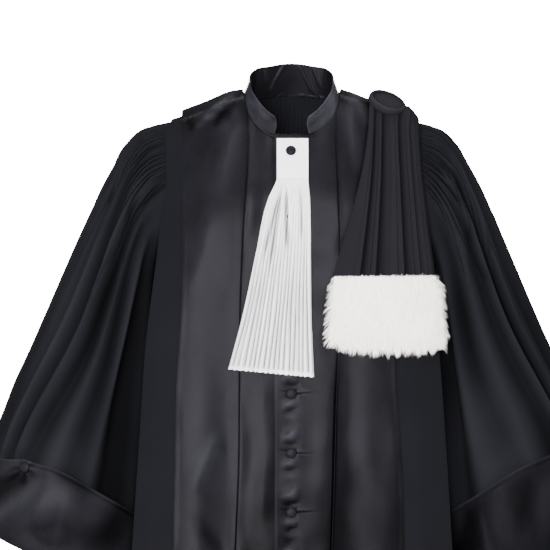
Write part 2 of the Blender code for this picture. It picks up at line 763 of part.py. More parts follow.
def cuff_point(side_name, sign, degrees, up, extra):
    """A point of the turned-back cuff: up is 0 at the sleeve's hem and 1 at the cuff's top edge."""
    cuff = CUFF[side_name]
    tall = read(cuff, "height", degrees % 360)
    stand = read(cuff, "stand", degrees % 360)
    along = 1 - up * tall / SLEEVE_LENGTH
    rise = CUFF_HEM_STAND + (stand - CUFF_HEM_STAND) * np.clip(up, 0, 1) ** 0.7
    return lifted(mirrored(sleeve, sign), degrees, along, rise + extra, facing=-sign, step=0.01)


def make_cuff(side_name, sign):
    degrees = np.linspace(0, 360, CUFF_COLUMNS, endpoint=False)[None, :]
    up = np.array(CUFF_ROWS, float)[:, None]
    degrees, up = np.broadcast_arrays(degrees, up)
    outer = cuff_point(side_name, sign, degrees, up, 0)
    inner = cuff_point(side_name, sign, degrees, up, -CUFF_THICK)
    wall(f"cuff_{side_name}", "satin", outer, inner, round_it=True)


def placed(point, normal):
    """A matrix that stands a piece on this point along this normal."""
    turn = Vector(normal).to_track_quat("Z", "Y").to_matrix().to_4x4()
    return Matrix.Translation(Vector(point)) @ turn


def lathe(name, cloth, profile, around, where):
    """A round piece turned from a profile of radius and height, both ends on its axis."""
    bm = bmesh.new()
    angles = np.arange(around) * 2 * math.pi / around
    rings = []
    for radius, level in profile:
        if radius == 0:
            rings.append([bm.verts.new(where @ Vector((0, 0, level)))])
        else:
            rings.append([
                bm.verts.new(where @ Vector((radius * math.cos(a), radius * math.sin(a), level)))
                for a in angles
            ])
    for low, high in zip(rings, rings[1:]):
        for c in range(around):
            d = (c + 1) % around
            corners = [low[c % len(low)], low[d % len(low)], high[d % len(high)], high[c % len(high)]]
            kept = [v for k, v in enumerate(corners) if v not in corners[:k]]
            bm.faces.new(kept)
    bmesh.ops.triangulate(bm, faces=bm.faces)
    return add(name, cloth, bm)


def turned_profile(radius, tall, shares):
    """A closed profile of radius and height from shares of both, from the axis below to the axis on top."""
    return [(0, 0)] + [(radius * r, tall * h) for r, h in shares] + [(0, tall)]


def make_button(name, point, normal):
    profile = turned_profile(BUTTON_RADIUS, BUTTON_HEIGHT, BUTTON_PROFILE)
    return lathe(name, "satin", profile, BUTTON_SIDES, placed(point, normal))


def on_front(x, z, out):
    """A point over the front's form at this height, and the form's normal there."""
    x = np.array(x, float)
    drop = drop_at(x, np.array(z, float))
    lift = out + front_drape(x, drop)
    point = lifted(front, x, drop, lift)
    below = lifted(front, x, drop, lift - 0.001)
    return point, (point - below) / 0.001


def make_front_buttons():
    over = FRONT_LAYERS["left"] + SEAM
    heights = [FIRST_BUTTON_HEIGHT]
    heights += [SECOND_BUTTON_HEIGHT - BUTTON_SPACING * k for k in range(FRONT_BUTTONS - 1)]
    for number, z in enumerate(heights, 1):
        stack = over + (TAB_THICK + SEAM if number == 1 else 0)
        point, normal = on_front(FRONT_BUTTON_X, z, stack + BUTTON_SEAT)
        make_button(f"button_front_{number:02d}", point, normal)


def make_cuff_buttons():
    for side_name, sign in SIDES.items():
        degrees = np.array(CUFF_BUTTON_DEG[side_name], float)
        tall = read(CUFF[side_name], "height", degrees)
        up = 1 - CUFF_BUTTON_BELOW_EDGE / tall
        point = cuff_point(side_name, sign, degrees, np.array(up), SEAM + BUTTON_SEAT)
        below = cuff_point(side_name, sign, degrees, np.array(up), SEAM + BUTTON_SEAT - 0.001)
        make_button(f"button_cuff_{side_name}", point, (point - below) / 0.001)


def over_front(x, drop, out):
    """Points over the front's form, carried straight on where they pass the fold edge."""
    held = np.minimum(x, FOLD_HOLD * read(FOLD_EDGE, "x", drop))
    point = lifted(front, held, drop, out + front_drape(x, drop))
    return point + (x - held)[..., None] * np.array([1, PAST_FOLD_SLOPE, 0])


def front_sheet(x, z, out):
    """Points over the front's form at these heights."""
    x, z, out = np.broadcast_arrays(x, z, out)
    return over_front(x, drop_at(x, z), out)


def make_rabat():
    """The white neckpiece: its plain tab, then the fall of pleats that hangs over the front buttons."""
    base = FRONT_LAYERS["left"] + SEAM
    x = np.linspace(TAB["left_x"], TAB["right_x"], 5)[None, :]
    z = np.linspace(TAB["top"], TAB["bottom"], 5)[:, None]
    wall("rabat_tab", "cotton", front_sheet(x, z, base + TAB_THICK), front_sheet(x, z, base))
    along = np.array(RABAT_ROWS, float)[:, None]
    across = np.linspace(0, 1, 3 * RABAT_PLEATS + 1)[None, :]
    left = read(RABAT, "left", along)
    right = read(RABAT, "right", along)
    upper = read(RABAT, "height_left", along)
    lower = read(RABAT, "height_right", along)
    x = left + (right - left) * across
    z = upper + (lower - upper) * across
    wave = np.array(RABAT_WAVE)[np.arange(3 * RABAT_PLEATS + 1) % 3][None, :]
    clear = base + TAB_THICK - COTTON + (RABAT_CLEAR - TAB_THICK) * ease(along / 0.16)
    deep = RABAT_PLEAT_DEPTH * (0.25 + 0.75 * ease(along / 0.5))
    stand = clear + deep * wave
    wall("rabat_pleats", "cotton", front_sheet(x, z, stand + COTTON), front_sheet(x, z, stand))


def sash_columns():
    """The sash's lines and the places halfway between them."""
    rows = {}
    for name, values in SASH.items():
        between = (values[1:] + values[:-1]) / 2
        mixed = np.empty(len(values) + len(between))
        mixed[0::2], mixed[1::2] = values, between
        rows[name] = mixed[None, :]
    return rows


def sash_stand(line, along, place, thick):
    """How far the sash stands off: clear of the shoulder's turn, then close to the cloth, plus its pleats."""
    rest = SASH_OUT + (SASH_REST_OUT[place] - SASH_OUT) * ease(along / 0.3)
    return rest + thick + line["stand"] * (0.35 + 0.65 * ease(along / 0.3))


def sash_front(thick):
    line = sash_columns()
    along = np.array(SASH_ROWS, float)[:, None]
    x = line["top"] + (line["bottom"] - line["top"]) * ease(along * 0.5) * 2
    start = height(x[:1], SASH_TOP_DROP)
    z = start + (SASH_END_HEIGHT - start) * along
    drop = drop_at(x, z)
    return over_front(x, drop, sash_stand(line, along, "front", thick))


def back_point(x, z, out):
    """Points over the wearer's left of the back's form, clear of its pleats."""
    x, z, out = np.broadcast_arrays(x, z, out)
    drop = drop_at(x, z)
    low = 0 * x
    high = low + 1
    for _ in range(40):
        middle = (low + high) / 2
        short = back(middle, drop)[..., 0] < x
        low = np.where(short, middle, low)
        high = np.where(short, high, middle)
    clear = read(BACK_PLEAT_DEPTH, "depth", drop) * ease((drop - 0.03) / 0.05)
    return lifted(back, low, drop, out + clear, facing=-1)


def sash_back(thick):
    line = sash_columns()
    along = np.array(SASH_ROWS, float)[:, None]
    top, bottom = (SASH_LEFT[k] + (line[k] - line[k][0, 0]) * SASH_BACK_SHARE[k] for k in ("top", "bottom"))
    x = top + (bottom - top) * ease(along * 0.5) * 2
    start = height(x[:1], SASH_TOP_DROP)
    z = start + (SASH_END_HEIGHT - start) * along
    return back_point(x, z, sash_stand(line, along, "back", thick))


def make_sash():
    wall("sash_front", "wool", sash_front(WOOL), sash_front(0))
    wall("sash_back", "wool", sash_back(WOOL), sash_back(0))
    x = np.array(DISC_X)
    foot = lifted(front, x, np.array(DISC_DROP), SASH_OUT + WOOL + DISC_CLEAR)
    below = lifted(front, x, np.array(DISC_DROP), SASH_OUT)
    normal = foot - below
    profile = turned_profile(DISC_RADIUS, DISC_THICKNESS, DISC_PROFILE)
    lathe("sash_disc", "wool", profile, DISC_SIDES, placed(foot, normal / np.linalg.norm(normal)))


def fur_grid(surface, out, right_edge):
    across = np.linspace(0, 1, FUR_COLUMNS)[None, :]
    down = np.array(FUR_ROWS, float)[:, None]
    left = FUR["left_top"] + (FUR["left_bottom"] - FUR["left_top"]) * down
    right = FUR["right_top"] + (FUR["right_bottom"] - FUR["right_top"]) * down
    right = np.minimum(right, right_edge)
    x = left + (right - left) * across
    z = FUR["top"] + (FUR["bottom"] - FUR["top"]) * down
    swell = (1 - np.abs(2 * across - 1) ** 3.5) ** 0.4 * (1 - np.abs(2 * down - 1) ** 3.5) ** 0.4
    return surface(x, z, out), surface(x, z, out + 0.002 + (FUR["thick"] - 0.002) * swell)


def make_furs():
    edges = (("front", front_sheet, FUR["right_bottom"]), ("back", back_point, FUR_BACK_EDGE))
    for place, surface, right_edge in edges:
        inner, outer = fur_grid(surface, FUR_OUT[place], right_edge)
        wall(f"fur_{place}", "fur", outer, inner)


def build():
    for old in list(bpy.data.objects):
        bpy.data.objects.remove(old, do_unlink=True)
    make_fronts()
    make_sides()
    make_backs()
    make_collar()
    for side_name, sign in SIDES.items():
        make_sleeve(side_name, sign)
        make_cuff(side_name, sign)
    make_front_buttons()
    make_cuff_buttons()
    make_rabat()
    make_sash()
    make_furs()


build()
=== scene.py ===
"""Looks of the judicial robe, piece by piece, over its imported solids."""
import math

import bpy
import numpy as np
from mathutils import Matrix, Vector


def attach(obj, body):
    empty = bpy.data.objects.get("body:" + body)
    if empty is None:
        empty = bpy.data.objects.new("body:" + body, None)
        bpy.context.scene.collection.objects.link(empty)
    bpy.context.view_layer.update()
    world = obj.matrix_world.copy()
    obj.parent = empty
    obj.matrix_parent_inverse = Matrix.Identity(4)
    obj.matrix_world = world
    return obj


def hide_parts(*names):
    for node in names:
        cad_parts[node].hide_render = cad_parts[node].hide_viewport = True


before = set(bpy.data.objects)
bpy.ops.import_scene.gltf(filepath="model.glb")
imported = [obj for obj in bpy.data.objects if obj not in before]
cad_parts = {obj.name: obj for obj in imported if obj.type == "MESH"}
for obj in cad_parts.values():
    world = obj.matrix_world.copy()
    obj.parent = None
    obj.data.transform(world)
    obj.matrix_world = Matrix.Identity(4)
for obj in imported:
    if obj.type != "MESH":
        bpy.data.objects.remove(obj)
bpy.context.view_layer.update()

# FRONT PANELS
# One panel of matte black wool on each side of the chest, cut in one with the shoulder and sewn there
# to the back. Its outer edge is folded under and stands over the armhole seam; it hangs in soft folds.

HEM_DROP = 1.380
NECK_HALF_WIDTH = 0.0725
NECK_SIDE_HEIGHT = 0.004
NECK_FRONT_FALL = 0.073
NECK_ROUNDING = 0.030
OPEN_NECK_HALF = 0.026
SHOULDER_SLOPE = 0.40
SHOULDER_FADE = 0.60
FRONT_SQUARENESS = 5.0
FOLD_SHARE = 0.90
PLACKET_FLAT = 0.020
FOLD_SWELL = 0.0012
UNDER_FACING = 0.123
WOOL = 0.0015
SATIN = 0.0010
SEAM = 0.0003
SIDES = {"right": -1, "left": 1}
LAYERS = {"right": 0.0, "left": SEAM + SATIN}


def table(columns, rows):
    return dict(zip(columns.split(), np.array(rows, float).T))


BODY = table("drop front back side", (
    (0.0, 0.0006, 0.0006, 0.198), (0.005, 0.026, 0.03, 0.199), (0.01, 0.036, 0.042, 0.2),
    (0.02, 0.048, 0.054, 0.201), (0.04, 0.062, 0.07, 0.202), (0.09, 0.084, 0.092, 0.204),
    (0.15, 0.105, 0.108, 0.205), (0.24, 0.122, 0.118, 0.206), (0.4, 0.135, 0.128, 0.21),
    (0.7, 0.15, 0.16, 0.22), (0.9, 0.16, 0.19, 0.246), (1.38, 0.19, 0.285, 0.345),
))
FOLD_EDGE = table("drop x", (
    (0.0, 0.184), (0.014, 0.1901), (0.055, 0.191), (0.105, 0.1906), (0.155, 0.1977), (0.24, 0.2067),
    (0.345, 0.2185), (0.53, 0.2305), (0.71, 0.2421), (1.38, 0.3084),
))
FACING = {
    "right": table("drop inner outer", (
        (0.0, 0.066, 0.168), (0.12, 0.0685, 0.1645), (0.21, 0.075, 0.1646), (0.32, 0.0792, 0.1661),
        (0.43, 0.0805, 0.1736), (0.57, 0.0818, 0.1762), (0.71, 0.0877, 0.1798), (1.38, 0.1101, 0.2059),
    )),
    "left": table("drop inner outer", (
        (0.0, 0.065, 0.16), (0.1, 0.0681, 0.1569), (0.21, 0.0728, 0.1559), (0.43, 0.0698, 0.1571),
        (0.59, 0.0653, 0.1665), (0.71, 0.0599, 0.1687), (1.38, 0.046, 0.1916),
    )),
}


def ease(t):
    t = np.clip(t, 0, 1)
    return t * t * (3 - 2 * t)


def bell(off, wide):
    """1 on a line, fading to nothing at about twice this width beside it."""
    return np.exp(-((off / wide) ** 2))


def read(rows, column, at):
    """A smooth curve through one column of a table, read along its first column."""
    places = rows[next(iter(rows))]
    values = rows[column]
    slopes = np.gradient(values, places)
    at = np.clip(at, places[0], places[-1])
    i = np.clip(np.searchsorted(places, at, side="right") - 1, 0, len(places) - 2)
    gap = places[i + 1] - places[i]
    t = (at - places[i]) / gap
    return (
        (1 + 2 * t) * (1 - t) ** 2 * values[i]
        + t * (1 - t) ** 2 * gap * slopes[i]
        + t * t * (3 - 2 * t) * values[i + 1]
        + t * t * (t - 1) * gap * slopes[i + 1]
    )


def shoulder_height(x):
    return NECK_SIDE_HEIGHT - SHOULDER_SLOPE * (np.hypot(x, NECK_ROUNDING) - NECK_HALF_WIDTH)


def height(x, drop):
    return shoulder_height(x) * (1 - ease(drop / SHOULDER_FADE)) - drop


def drop_at(x, z):
    """The drop below the shoulder line of a point on the body at this height."""
    drop = np.maximum(shoulder_height(x) - z, 0)
    for _ in range(12):
        drop = np.maximum(shoulder_height(x) * (1 - ease(drop / SHOULDER_FADE)) - z, 0)
    return drop


def front(x, drop):
    """A point of the front's form, flat across and rounding away at the fold edge."""
    x, drop = np.broadcast_arrays(np.asarray(x, float), np.asarray(drop, float))
    wide = read(FOLD_EDGE, "x", drop) / FOLD_SHARE
    share = 1 - np.clip(np.abs(x) / wide, 0, 0.999) ** FRONT_SQUARENESS
    y = -read(BODY, "front", drop) * share ** (1 / FRONT_SQUARENESS)
    return np.stack([x, y, height(x, drop)], axis=-1)


def lifted(surface, a, b, out, step=0.0005, facing=1):
    """Points of a form moved out along its normal."""
    a, b, out = np.broadcast_arrays(*(np.asarray(v, float) for v in (a, b, out)))
    low = np.maximum(b - step, 0)
    across = surface(a + step, b) - surface(a - step, b)
    down = surface(a, b + step) - surface(a, low)
    normal = np.cross(down, across) * facing
    normal /= np.maximum(np.linalg.norm(normal, axis=-1, keepdims=True), 1e-12)
    return surface(a, b) + normal * out[..., None]


def neckline_height(x):
    around = np.arcsin(np.clip(np.abs(x) / NECK_HALF_WIDTH, 0, 1))
    return NECK_SIDE_HEIGHT - NECK_FRONT_FALL * np.cos(around) ** 0.85


def front_top(x):
    on_neck = drop_at(x, neckline_height(np.maximum(np.abs(x), OPEN_NECK_HALF)))
    return np.where(np.abs(x) < NECK_HALF_WIDTH, on_neck, 0.0)


def front_drape(x, drop):
    """Soft upright folds of the front, the same for every layer that lies there."""
    fold = read(FOLD_EDGE, "x", drop)
    grown = ease(drop / 0.9) * (1 - ease((np.abs(x) / fold - 0.78) / 0.14))
    grown *= ease((np.abs(x) - PLACKET_FLAT) / 0.05)
    return grown * (0.0026 * np.sin(x * 38 + 0.9) + 0.0013 * np.sin(x * 71 - 0.8))


def across_front(side_name, place, drop):
    """Distance from the middle: place is 0 there, 1 and 2 at the facing's edges and 3 at the fold edge."""
    facing = FACING[side_name]
    edges = [0 * drop, *(read(facing, edge, drop) for edge in ("inner", "outer")), read(FOLD_EDGE, "x", drop)]
    step = np.clip(np.floor(place), 0, 2).astype(int)
    low = np.choose(step, edges[:3])
    high = np.choose(step, edges[1:])
    return low + (high - low) * (place - step)


def front_grid(side_name, places, rows, middle=()):
    """Distances and drops of a front piece's points, from left to right and from its top to the hem."""
    sign = SIDES[side_name]
    place = np.asarray(places, float)[None, :]
    down = np.asarray(rows, float)[:, None]
    near = np.asarray(middle, float)[None, :] + 0 * down
    drop = down * HEM_DROP + np.zeros((1, len(middle) + len(places)))
    for _ in range(6):
        placed_drop = drop[:, len(middle):] if sign > 0 else drop[:, :len(places)][:, ::-1]
        across = sign * across_front(side_name, place + 0 * down, placed_drop)
        x = np.concatenate([near, across] if sign > 0 else [across[:, ::-1], near], axis=1)
        top = front_top(x)
        drop = top + (HEM_DROP - top) * down
    return x, drop


def wandering(u, v, seed, waves=7, low=1.0, high=3.0):
    """A smooth uneven field of about one unit, from a few crossing waves."""
    dice = np.random.default_rng(seed)
    total = 0
    for _ in range(waves):
        turn = dice.uniform(0, 2 * math.pi)
        rate = dice.uniform(low, high) * 2 * math.pi
        start = dice.uniform(0, 2 * math.pi)
        total += np.sin(rate * (u * math.cos(turn) + v * math.sin(turn)) + start)
    return total / math.sqrt(waves)


def both_faces(surface, a, b, stand, thick, **how):
    """The outer and inner face of a cloth laid on a form, its outer face standing this far out."""
    return [lifted(surface, a, b, out, **how) for out in (stand, stand - thick)]


def piece_of(name, points, faces, finish, painted_shading=None):
    """A smooth piece of these points and faces, turned so that a closed one faces outward."""
    points = np.asarray(points, float)
    mesh = bpy.data.meshes.new(name)
    mesh.from_pydata(points.tolist(), [], faces)
    # An optional per-point attribute of painted highlights and painted shade, which scales the base colour.
    if painted_shading is not None:
        mesh.attributes.new("painted_shading", "FLOAT", "POINT").data.foreach_set("value", painted_shading.astype(np.float32))
    halves = [(face[0], *face[2:4]) for face in faces if len(face) == 4]
    fans = np.array([face[:3] for face in faces] + halves)
    a, b, c = points[fans].transpose(1, 0, 2)
    if np.einsum("ij,ij->", a, np.cross(b, c)) < 0:
        mesh.flip_normals()
    mesh.shade_smooth()
    mesh.set_sharp_from_angle(angle=math.radians(50))
    mesh.materials.append(finish.material)
    made = bpy.data.objects.new(name, mesh)
    bpy.context.scene.collection.objects.link(made)
    return made


def cloth(name, outer, inner, finish, round_it=False, painted_shading=(0, 0)):
    """A closed thin wall of cloth between two grids of points, which can carry painted highlights and painted
    shade on its two faces.
    """
    numbers = np.arange(outer[..., 0].size).reshape(outer.shape[:2])
    behind = numbers.size
    if round_it:
        numbers = np.concatenate([numbers, numbers[:, :1]], axis=1)
    corners = (numbers[:-1, :-1], numbers[:-1, 1:], numbers[1:, 1:], numbers[1:, :-1])
    quads = np.stack(corners, axis=-1).reshape(-1, 4)
    rims = [numbers[0], numbers[-1, ::-1]]
    if not round_it:
        rims += [numbers[::-1, 0], numbers[:, -1]]
    walls = [np.stack([rim[1:], rim[:-1], rim[:-1] + behind, rim[1:] + behind], axis=-1) for rim in rims]
    faces = np.concatenate([quads, quads[:, ::-1] + behind, *walls])
    points = np.concatenate([outer.reshape(-1, 3), inner.reshape(-1, 3)])
    painted_shading = np.concatenate([(face + 0 * outer[..., 0]).ravel() for face in painted_shading])
    return piece_of(name, points, faces.tolist(), finish, painted_shading)


def hand_over(piece, node):
    """Moves a finished piece with the root and hides the solid that it stands for."""
    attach(piece, "root")
    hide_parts(node)


def dress(piece, node):
    """Hands over a finished sheet."""
    hand_over(piece, node)


class Field:
    """A value that varies over a cloth, worked out by nodes of its finish."""

    def __init__(self, finish, socket):
        self.finish, self.socket = finish, socket

    def __add__(self, other):
        return self.finish.math("ADD", self, other)

    def __radd__(self, other):
        return self.finish.math("ADD", other, self)

    def __sub__(self, other):
        return self.finish.math("SUBTRACT", self, other)

    def __rsub__(self, other):
        return self.finish.math("SUBTRACT", other, self)

    def __mul__(self, other):
        return self.finish.math("MULTIPLY", self, other)

    def __rmul__(self, other):
        return self.finish.math("MULTIPLY", other, self)


class Finish:
    """The Principled material of one cloth."""

    def __init__(self, name, **constants):
        self.material = bpy.data.materials.new(name)
        self.material.use_nodes = True
        self.tree = self.material.node_tree
        self.shader = self.tree.nodes["Principled BSDF"]
        for socket, value in constants.items():
            self.shader.inputs[socket.replace("_", " ").title()].default_value = value

    def feed(self, socket, value):
        if isinstance(value, Field):
            self.tree.links.new(value.socket, socket)
        else:
            socket.default_value = value

    def node(self, kind, settings, sockets, out=0):
        """A node of this type, its settings, and values or fields for its sockets by name or number."""
        made = self.tree.nodes.new(kind)
        for name, value in settings.items():
            setattr(made, name, value)
        used = {s.name: s for s in reversed(made.inputs) if s.enabled}
        for name, value in sockets.items():
            self.feed(made.inputs[name] if isinstance(name, int) else used[name], value)
        given = [s for s in made.outputs if s.enabled]
        return Field(self, given[out] if isinstance(out, int) else made.outputs[out])

    def math(self, operation, *values):
        return self.node("ShaderNodeMath", {"operation": operation}, dict(enumerate(values)))

    def colour_mix(self, share, low, high):
        sockets = {"Factor": share, "A": (*low, 1), "B": (*high, 1)}
        return self.node("ShaderNodeMix", {"data_type": "RGBA"}, sockets)

    def place(self):
        return self.node("ShaderNodeTexCoord", {}, {}, "Object")

    def noise(self, scale, detail=2.0, stretch=(1, 1, 1)):
        spot = self.node("ShaderNodeMapping", {}, {"Vector": self.place(), "Scale": stretch})
        return self.node("ShaderNodeTexNoise", {}, {"Vector": spot, "Scale": scale, "Detail": detail})

    def threads(self, direction, spacing):
        """Fine ribs across this direction, from 0 to 1."""
        spot = self.node("ShaderNodeVectorMath", {"operation": "DOT_PRODUCT"},
                         {0: self.place(), 1: direction}, "Value")
        return self.math("SINE", spot * (2 * math.pi / spacing)) * 0.5 + 0.5

    def colour(self, share, low, high):
        """Base colour between two, scaled by a per-point attribute of painted highlights and painted shade.
        """
        painted_shading = self.node("ShaderNodeAttribute", {"attribute_name": "painted_shading"}, {}, "Fac")
        sockets = {0: self.colour_mix(share, low, high), "Scale": 1 + painted_shading}
        return self.show("Base Color", self.node("ShaderNodeVectorMath", {"operation": "SCALE"}, sockets))

    def show(self, socket, value):
        self.feed(self.shader.inputs[socket], value)
        return self

    def raise_by(self, pattern, depth, strength=1.0):
        bump = self.node("ShaderNodeBump", {}, {"Height": pattern, "Distance": depth, "Strength": strength})
        return self.show("Normal", bump)


def wool_finish(name, dark, light):
    """Matte worsted: a faint twill, loose fibres and a trace of bloom at grazing angles."""
    made = Finish(name, sheen_weight=0.004, sheen_roughness=0.5)
    made.shader.inputs["Specular IOR Level"].default_value = 0.01
    twill = made.threads((0.75, 0.2, 0.65), 0.0011)
    fibres = made.noise(900.0, 3.0)
    patches = made.noise(9.0, 3.0)
    made.colour(patches * 0.7 + fibres * 0.3, dark, light)
    made.show("Roughness", 0.78 + 0.16 * fibres)
    return made.raise_by(twill * 0.4 + fibres * 0.6, 0.00035, 0.5)


black_wool = wool_finish("black_wool", (0.0033, 0.0033, 0.0041), (0.0056, 0.0057, 0.0071))

for side_name in SIDES:
    x, drop = front_grid(side_name, np.linspace(1 + UNDER_FACING, 3, 46), np.linspace(0, 1, 140) ** 1.25)
    fold = read(FOLD_EDGE, "x", drop)
    turned = FOLD_SWELL * bell(fold - np.abs(x), 0.007)
    soft = 0.0016 * ease(drop / 0.4) * np.maximum(0, wandering(x * 6, drop * 0.9, 11) * 0.4 + 0.3)
    soft *= ease((np.abs(x) - read(FACING[side_name], "outer", drop)) / 0.02)
    stand = LAYERS[side_name] + front_drape(x, drop) + turned + soft
    panel = cloth(f"front_panel_{side_name}", *both_faces(front, x, drop, stand, WOOL), black_wool)
    dress(panel, f"front_{side_name}")

# SIDE PANELS
# A narrow piece of the same wool under each arm. It is sewn behind the folded edge of the front, runs up
# to the armhole and is joined to the back at the side seam, where its edge laps a little past the back's.

ARMHOLE_DROP = 0.240
ARMHOLE_TURN = 0.100
ARMHOLE_IN = 0.008
FOLD_CLEAR = 0.0060
FOLD_UNDERLAP = 0.020
SIDE_SEAM_LAP = 0.0015


def armhole_share(drop):
    """How much of the body's depth is left at the armhole's edge."""
    turn = np.clip((drop - ARMHOLE_TURN) / (ARMHOLE_DROP - ARMHOLE_TURN), 0, 1)
    return np.sqrt(1 - turn * turn)


def side(turn, drop):
    """A point of the side panel: turn is -1 under the front, 0 at its fold edge and 1 at the side seam."""
    turn, drop = np.broadcast_arrays(np.asarray(turn, float), np.asarray(drop, float))
    start_x = read(FOLD_EDGE, "x", drop) - ARMHOLE_IN
    start = lifted(front, start_x + FOLD_UNDERLAP * np.minimum(turn, 0), drop, -FOLD_CLEAR)
    angle = np.clip(turn, 0, 1) * math.pi / 2
    x = start[..., 0] + (read(BODY, "side", drop) - start[..., 0]) * np.sin(angle)
    y = start[..., 1] * np.cos(angle)
    z = height(x, drop) + (start[..., 2] - height(start[..., 0], drop)) * np.cos(angle)
    return np.stack([x, y, z], axis=-1)


def mirrored(surface, sign):
    def there(a, b):
        return surface(a, b) * np.array([sign, 1, 1])
    return there


for side_name, sign in SIDES.items():
    turn = np.linspace(-0.9, 1.0, 34)[None, :]
    bend = np.sin(np.clip(turn, 0, 1) * math.pi / 2)
    top = ARMHOLE_TURN + (ARMHOLE_DROP - ARMHOLE_TURN) * bend + SEAM
    drop = top + (HEM_DROP - top) * np.linspace(0, 1, 70)[:, None]
    hang = 0.004 * ease((drop - 0.35) / 0.5) * np.sin(turn * 5.2 + 0.4)
    hang = hang * ease(turn / 0.3) * ease((1 - turn) / 0.2)
    outer, inner = both_faces(mirrored(side, sign), turn, drop, hang, WOOL, facing=sign)
    outer[:, -1, 1] = inner[:, -1, 1] = SIDE_SEAM_LAP
    panel = cloth(f"side_panel_{side_name}", outer, inner, black_wool)
    dress(panel, f"side_{side_name}")

# BACK
# Two widths of the wool, joined down the centre. Their fullness is gathered under the collar with rows of
# stitching and falls from there to the hem in organ-pipe pleats.

BACK_SQUARENESS = 2.6
SHOULDER_BLADE_X = 0.187
BACK_GATHER_HALF = 0.088
BACK_SPREAD = 0.93
NECK_BACK_DROP = 0.022
CENTRE_SEAM_LAP = 0.0006
BACK_PLEAT_DEPTH = table("drop depth", (
    (0.0, 0.0006), (0.05, 0.0014), (0.1, 0.0045), (0.25, 0.007), (0.6, 0.011), (1.38, 0.019),
))


def back(across, drop):
    """A point of the back's form: across is 0 at its middle and 1 at the side seam or the armhole."""
    across, drop = np.broadcast_arrays(np.asarray(across, float), np.asarray(drop, float))
    wide = read(BODY, "side", drop)
    deep = read(BODY, "back", drop)
    blade = (1 - (SHOULDER_BLADE_X / wide) ** BACK_SQUARENESS) ** (1 / BACK_SQUARENESS)
    edge = np.arccos(np.clip((blade * armhole_share(drop)) ** (BACK_SQUARENESS / 2), 0, 1))
    m = np.abs(across)
    by_width = np.arcsin(np.clip(m * np.sin(edge) ** (2 / BACK_SQUARENESS), 0, 1) ** (BACK_SQUARENESS / 2))
    by_angle = edge * m ** (BACK_SQUARENESS / 2)
    low = ease(drop / 0.5)
    angle = (1 - low) * by_width + low * by_angle
    x = np.sign(across) * wide * np.sin(angle) ** (2 / BACK_SQUARENESS)
    y = deep * np.clip(np.cos(angle), 0, 1) ** (2 / BACK_SQUARENESS)
    return np.stack([x, y, height(x, drop)], axis=-1)


def back_top(x):
    return NECK_BACK_DROP * np.sqrt(np.clip(1 - (x / NECK_HALF_WIDTH) ** 2, 0, 1))


def back_grid(rows):
    """Places across the back, drops and pleat numbers of half the back's points."""
    pleats = np.linspace(0, 8, 97)
    beyond = np.linspace(0, 1, 15)[1:]
    down = (np.linspace(0, 1, rows) ** 1.3)[:, None]
    gathered = BACK_GATHER_HALF / FOLD_EDGE["x"][0]
    drop = down * HEM_DROP + 0 * np.concatenate([pleats, beyond])[None, :]
    for _ in range(6):
        last = gathered + (BACK_SPREAD - gathered) * ease(drop / 0.5)
        inside = last[:, :len(pleats)] * pleats / 8
        outside = last[:, len(pleats):] + (1 - last[:, len(pleats):]) * beyond
        across = np.concatenate([inside, outside], axis=1)
        top = back_top(back(across, drop)[..., 0])
        drop = top + (HEM_DROP - top) * down
    number = np.concatenate([pleats, 8 + 0 * beyond])[None, :]
    fade = np.concatenate([1 + 0 * pleats, 1 - beyond])[None, :]
    return across, drop, number, fade


for side_name, sign in SIDES.items():
    across, drop, number, fade = back_grid(80)
    uneven = 1 + 0.22 * wandering(number * 0.17, drop * 0.5, 21 + sign)
    pipes = np.abs(np.sin(math.pi * number)) ** 0.75
    stand = read(BACK_PLEAT_DEPTH, "depth", drop) * pipes * np.clip(uneven, 0.5, 1.15)
    stand *= fade + (1 - fade) * 0.25
    gathers = 0.0007 * (1 - ease((drop - 0.06) / 0.10)) * np.sin(6 * math.pi * number) * fade
    across = np.maximum(across, SEAM / 2 / read(BODY, "side", drop))
    outer, inner = both_faces(mirrored(back, sign), across, drop, stand + gathers, WOOL, facing=-sign)
    outer[:, 0, 0] = inner[:, 0, 0] = -sign * CENTRE_SEAM_LAP
    # The inner face is painted lighter: painted light on the inside of the back.
    panel = cloth(f"back_panel_{side_name}", outer, inner, black_wool, painted_shading=(0, 0.7))
    dress(panel, f"back_{side_name}")

# CENTRE FRONTS
# Two strips of black satin behind the facings, the left one lapping over the right and buttoned to it.
# The cloth is drawn in at each button, so it puckers above and below and creases at the buttonhole.

PLACKET_EDGE_X = -0.026
BUTTON_X = -0.0015
BUTTON_HEIGHTS = [-0.0915] + [-0.189 - 0.089 * k for k in range(13)]


def satin_finish(name, dark, light, smooth, rough):
    """Duchesse satin: very fine floats that give a soft broad sheen, clouded where the cloth was handled."""
    made = Finish(name, sheen_weight=0.0)
    made.shader.inputs["Specular IOR Level"].default_value = 0.025
    made.shader.inputs["Specular Tint"].default_value = (0.93, 0.90, 1.0, 1)
    floats = made.threads((0.6, 0.1, 0.78), 0.0009)
    grain = made.noise(520.0, 2.0)
    clouds = made.noise(26.0, 4.0, (1, 1, 0.55))
    streaks = made.noise(9.0, 3.0, (1, 1, 0.25))
    twill = made.threads((0.72, 0.1, -0.69), 0.0042)
    cloudy = (clouds * 0.6 + streaks * 0.4 - 0.5) * 2.2 + 0.2
    made.colour(cloudy + twill * 0.2 + grain * 0.6 - 0.1, dark, light)
    made.show("Roughness", smooth + (rough - smooth) * clouds)
    return made.raise_by(floats * 0.4 + grain * 0.3 + clouds * 0.3, 0.0004, 0.35)


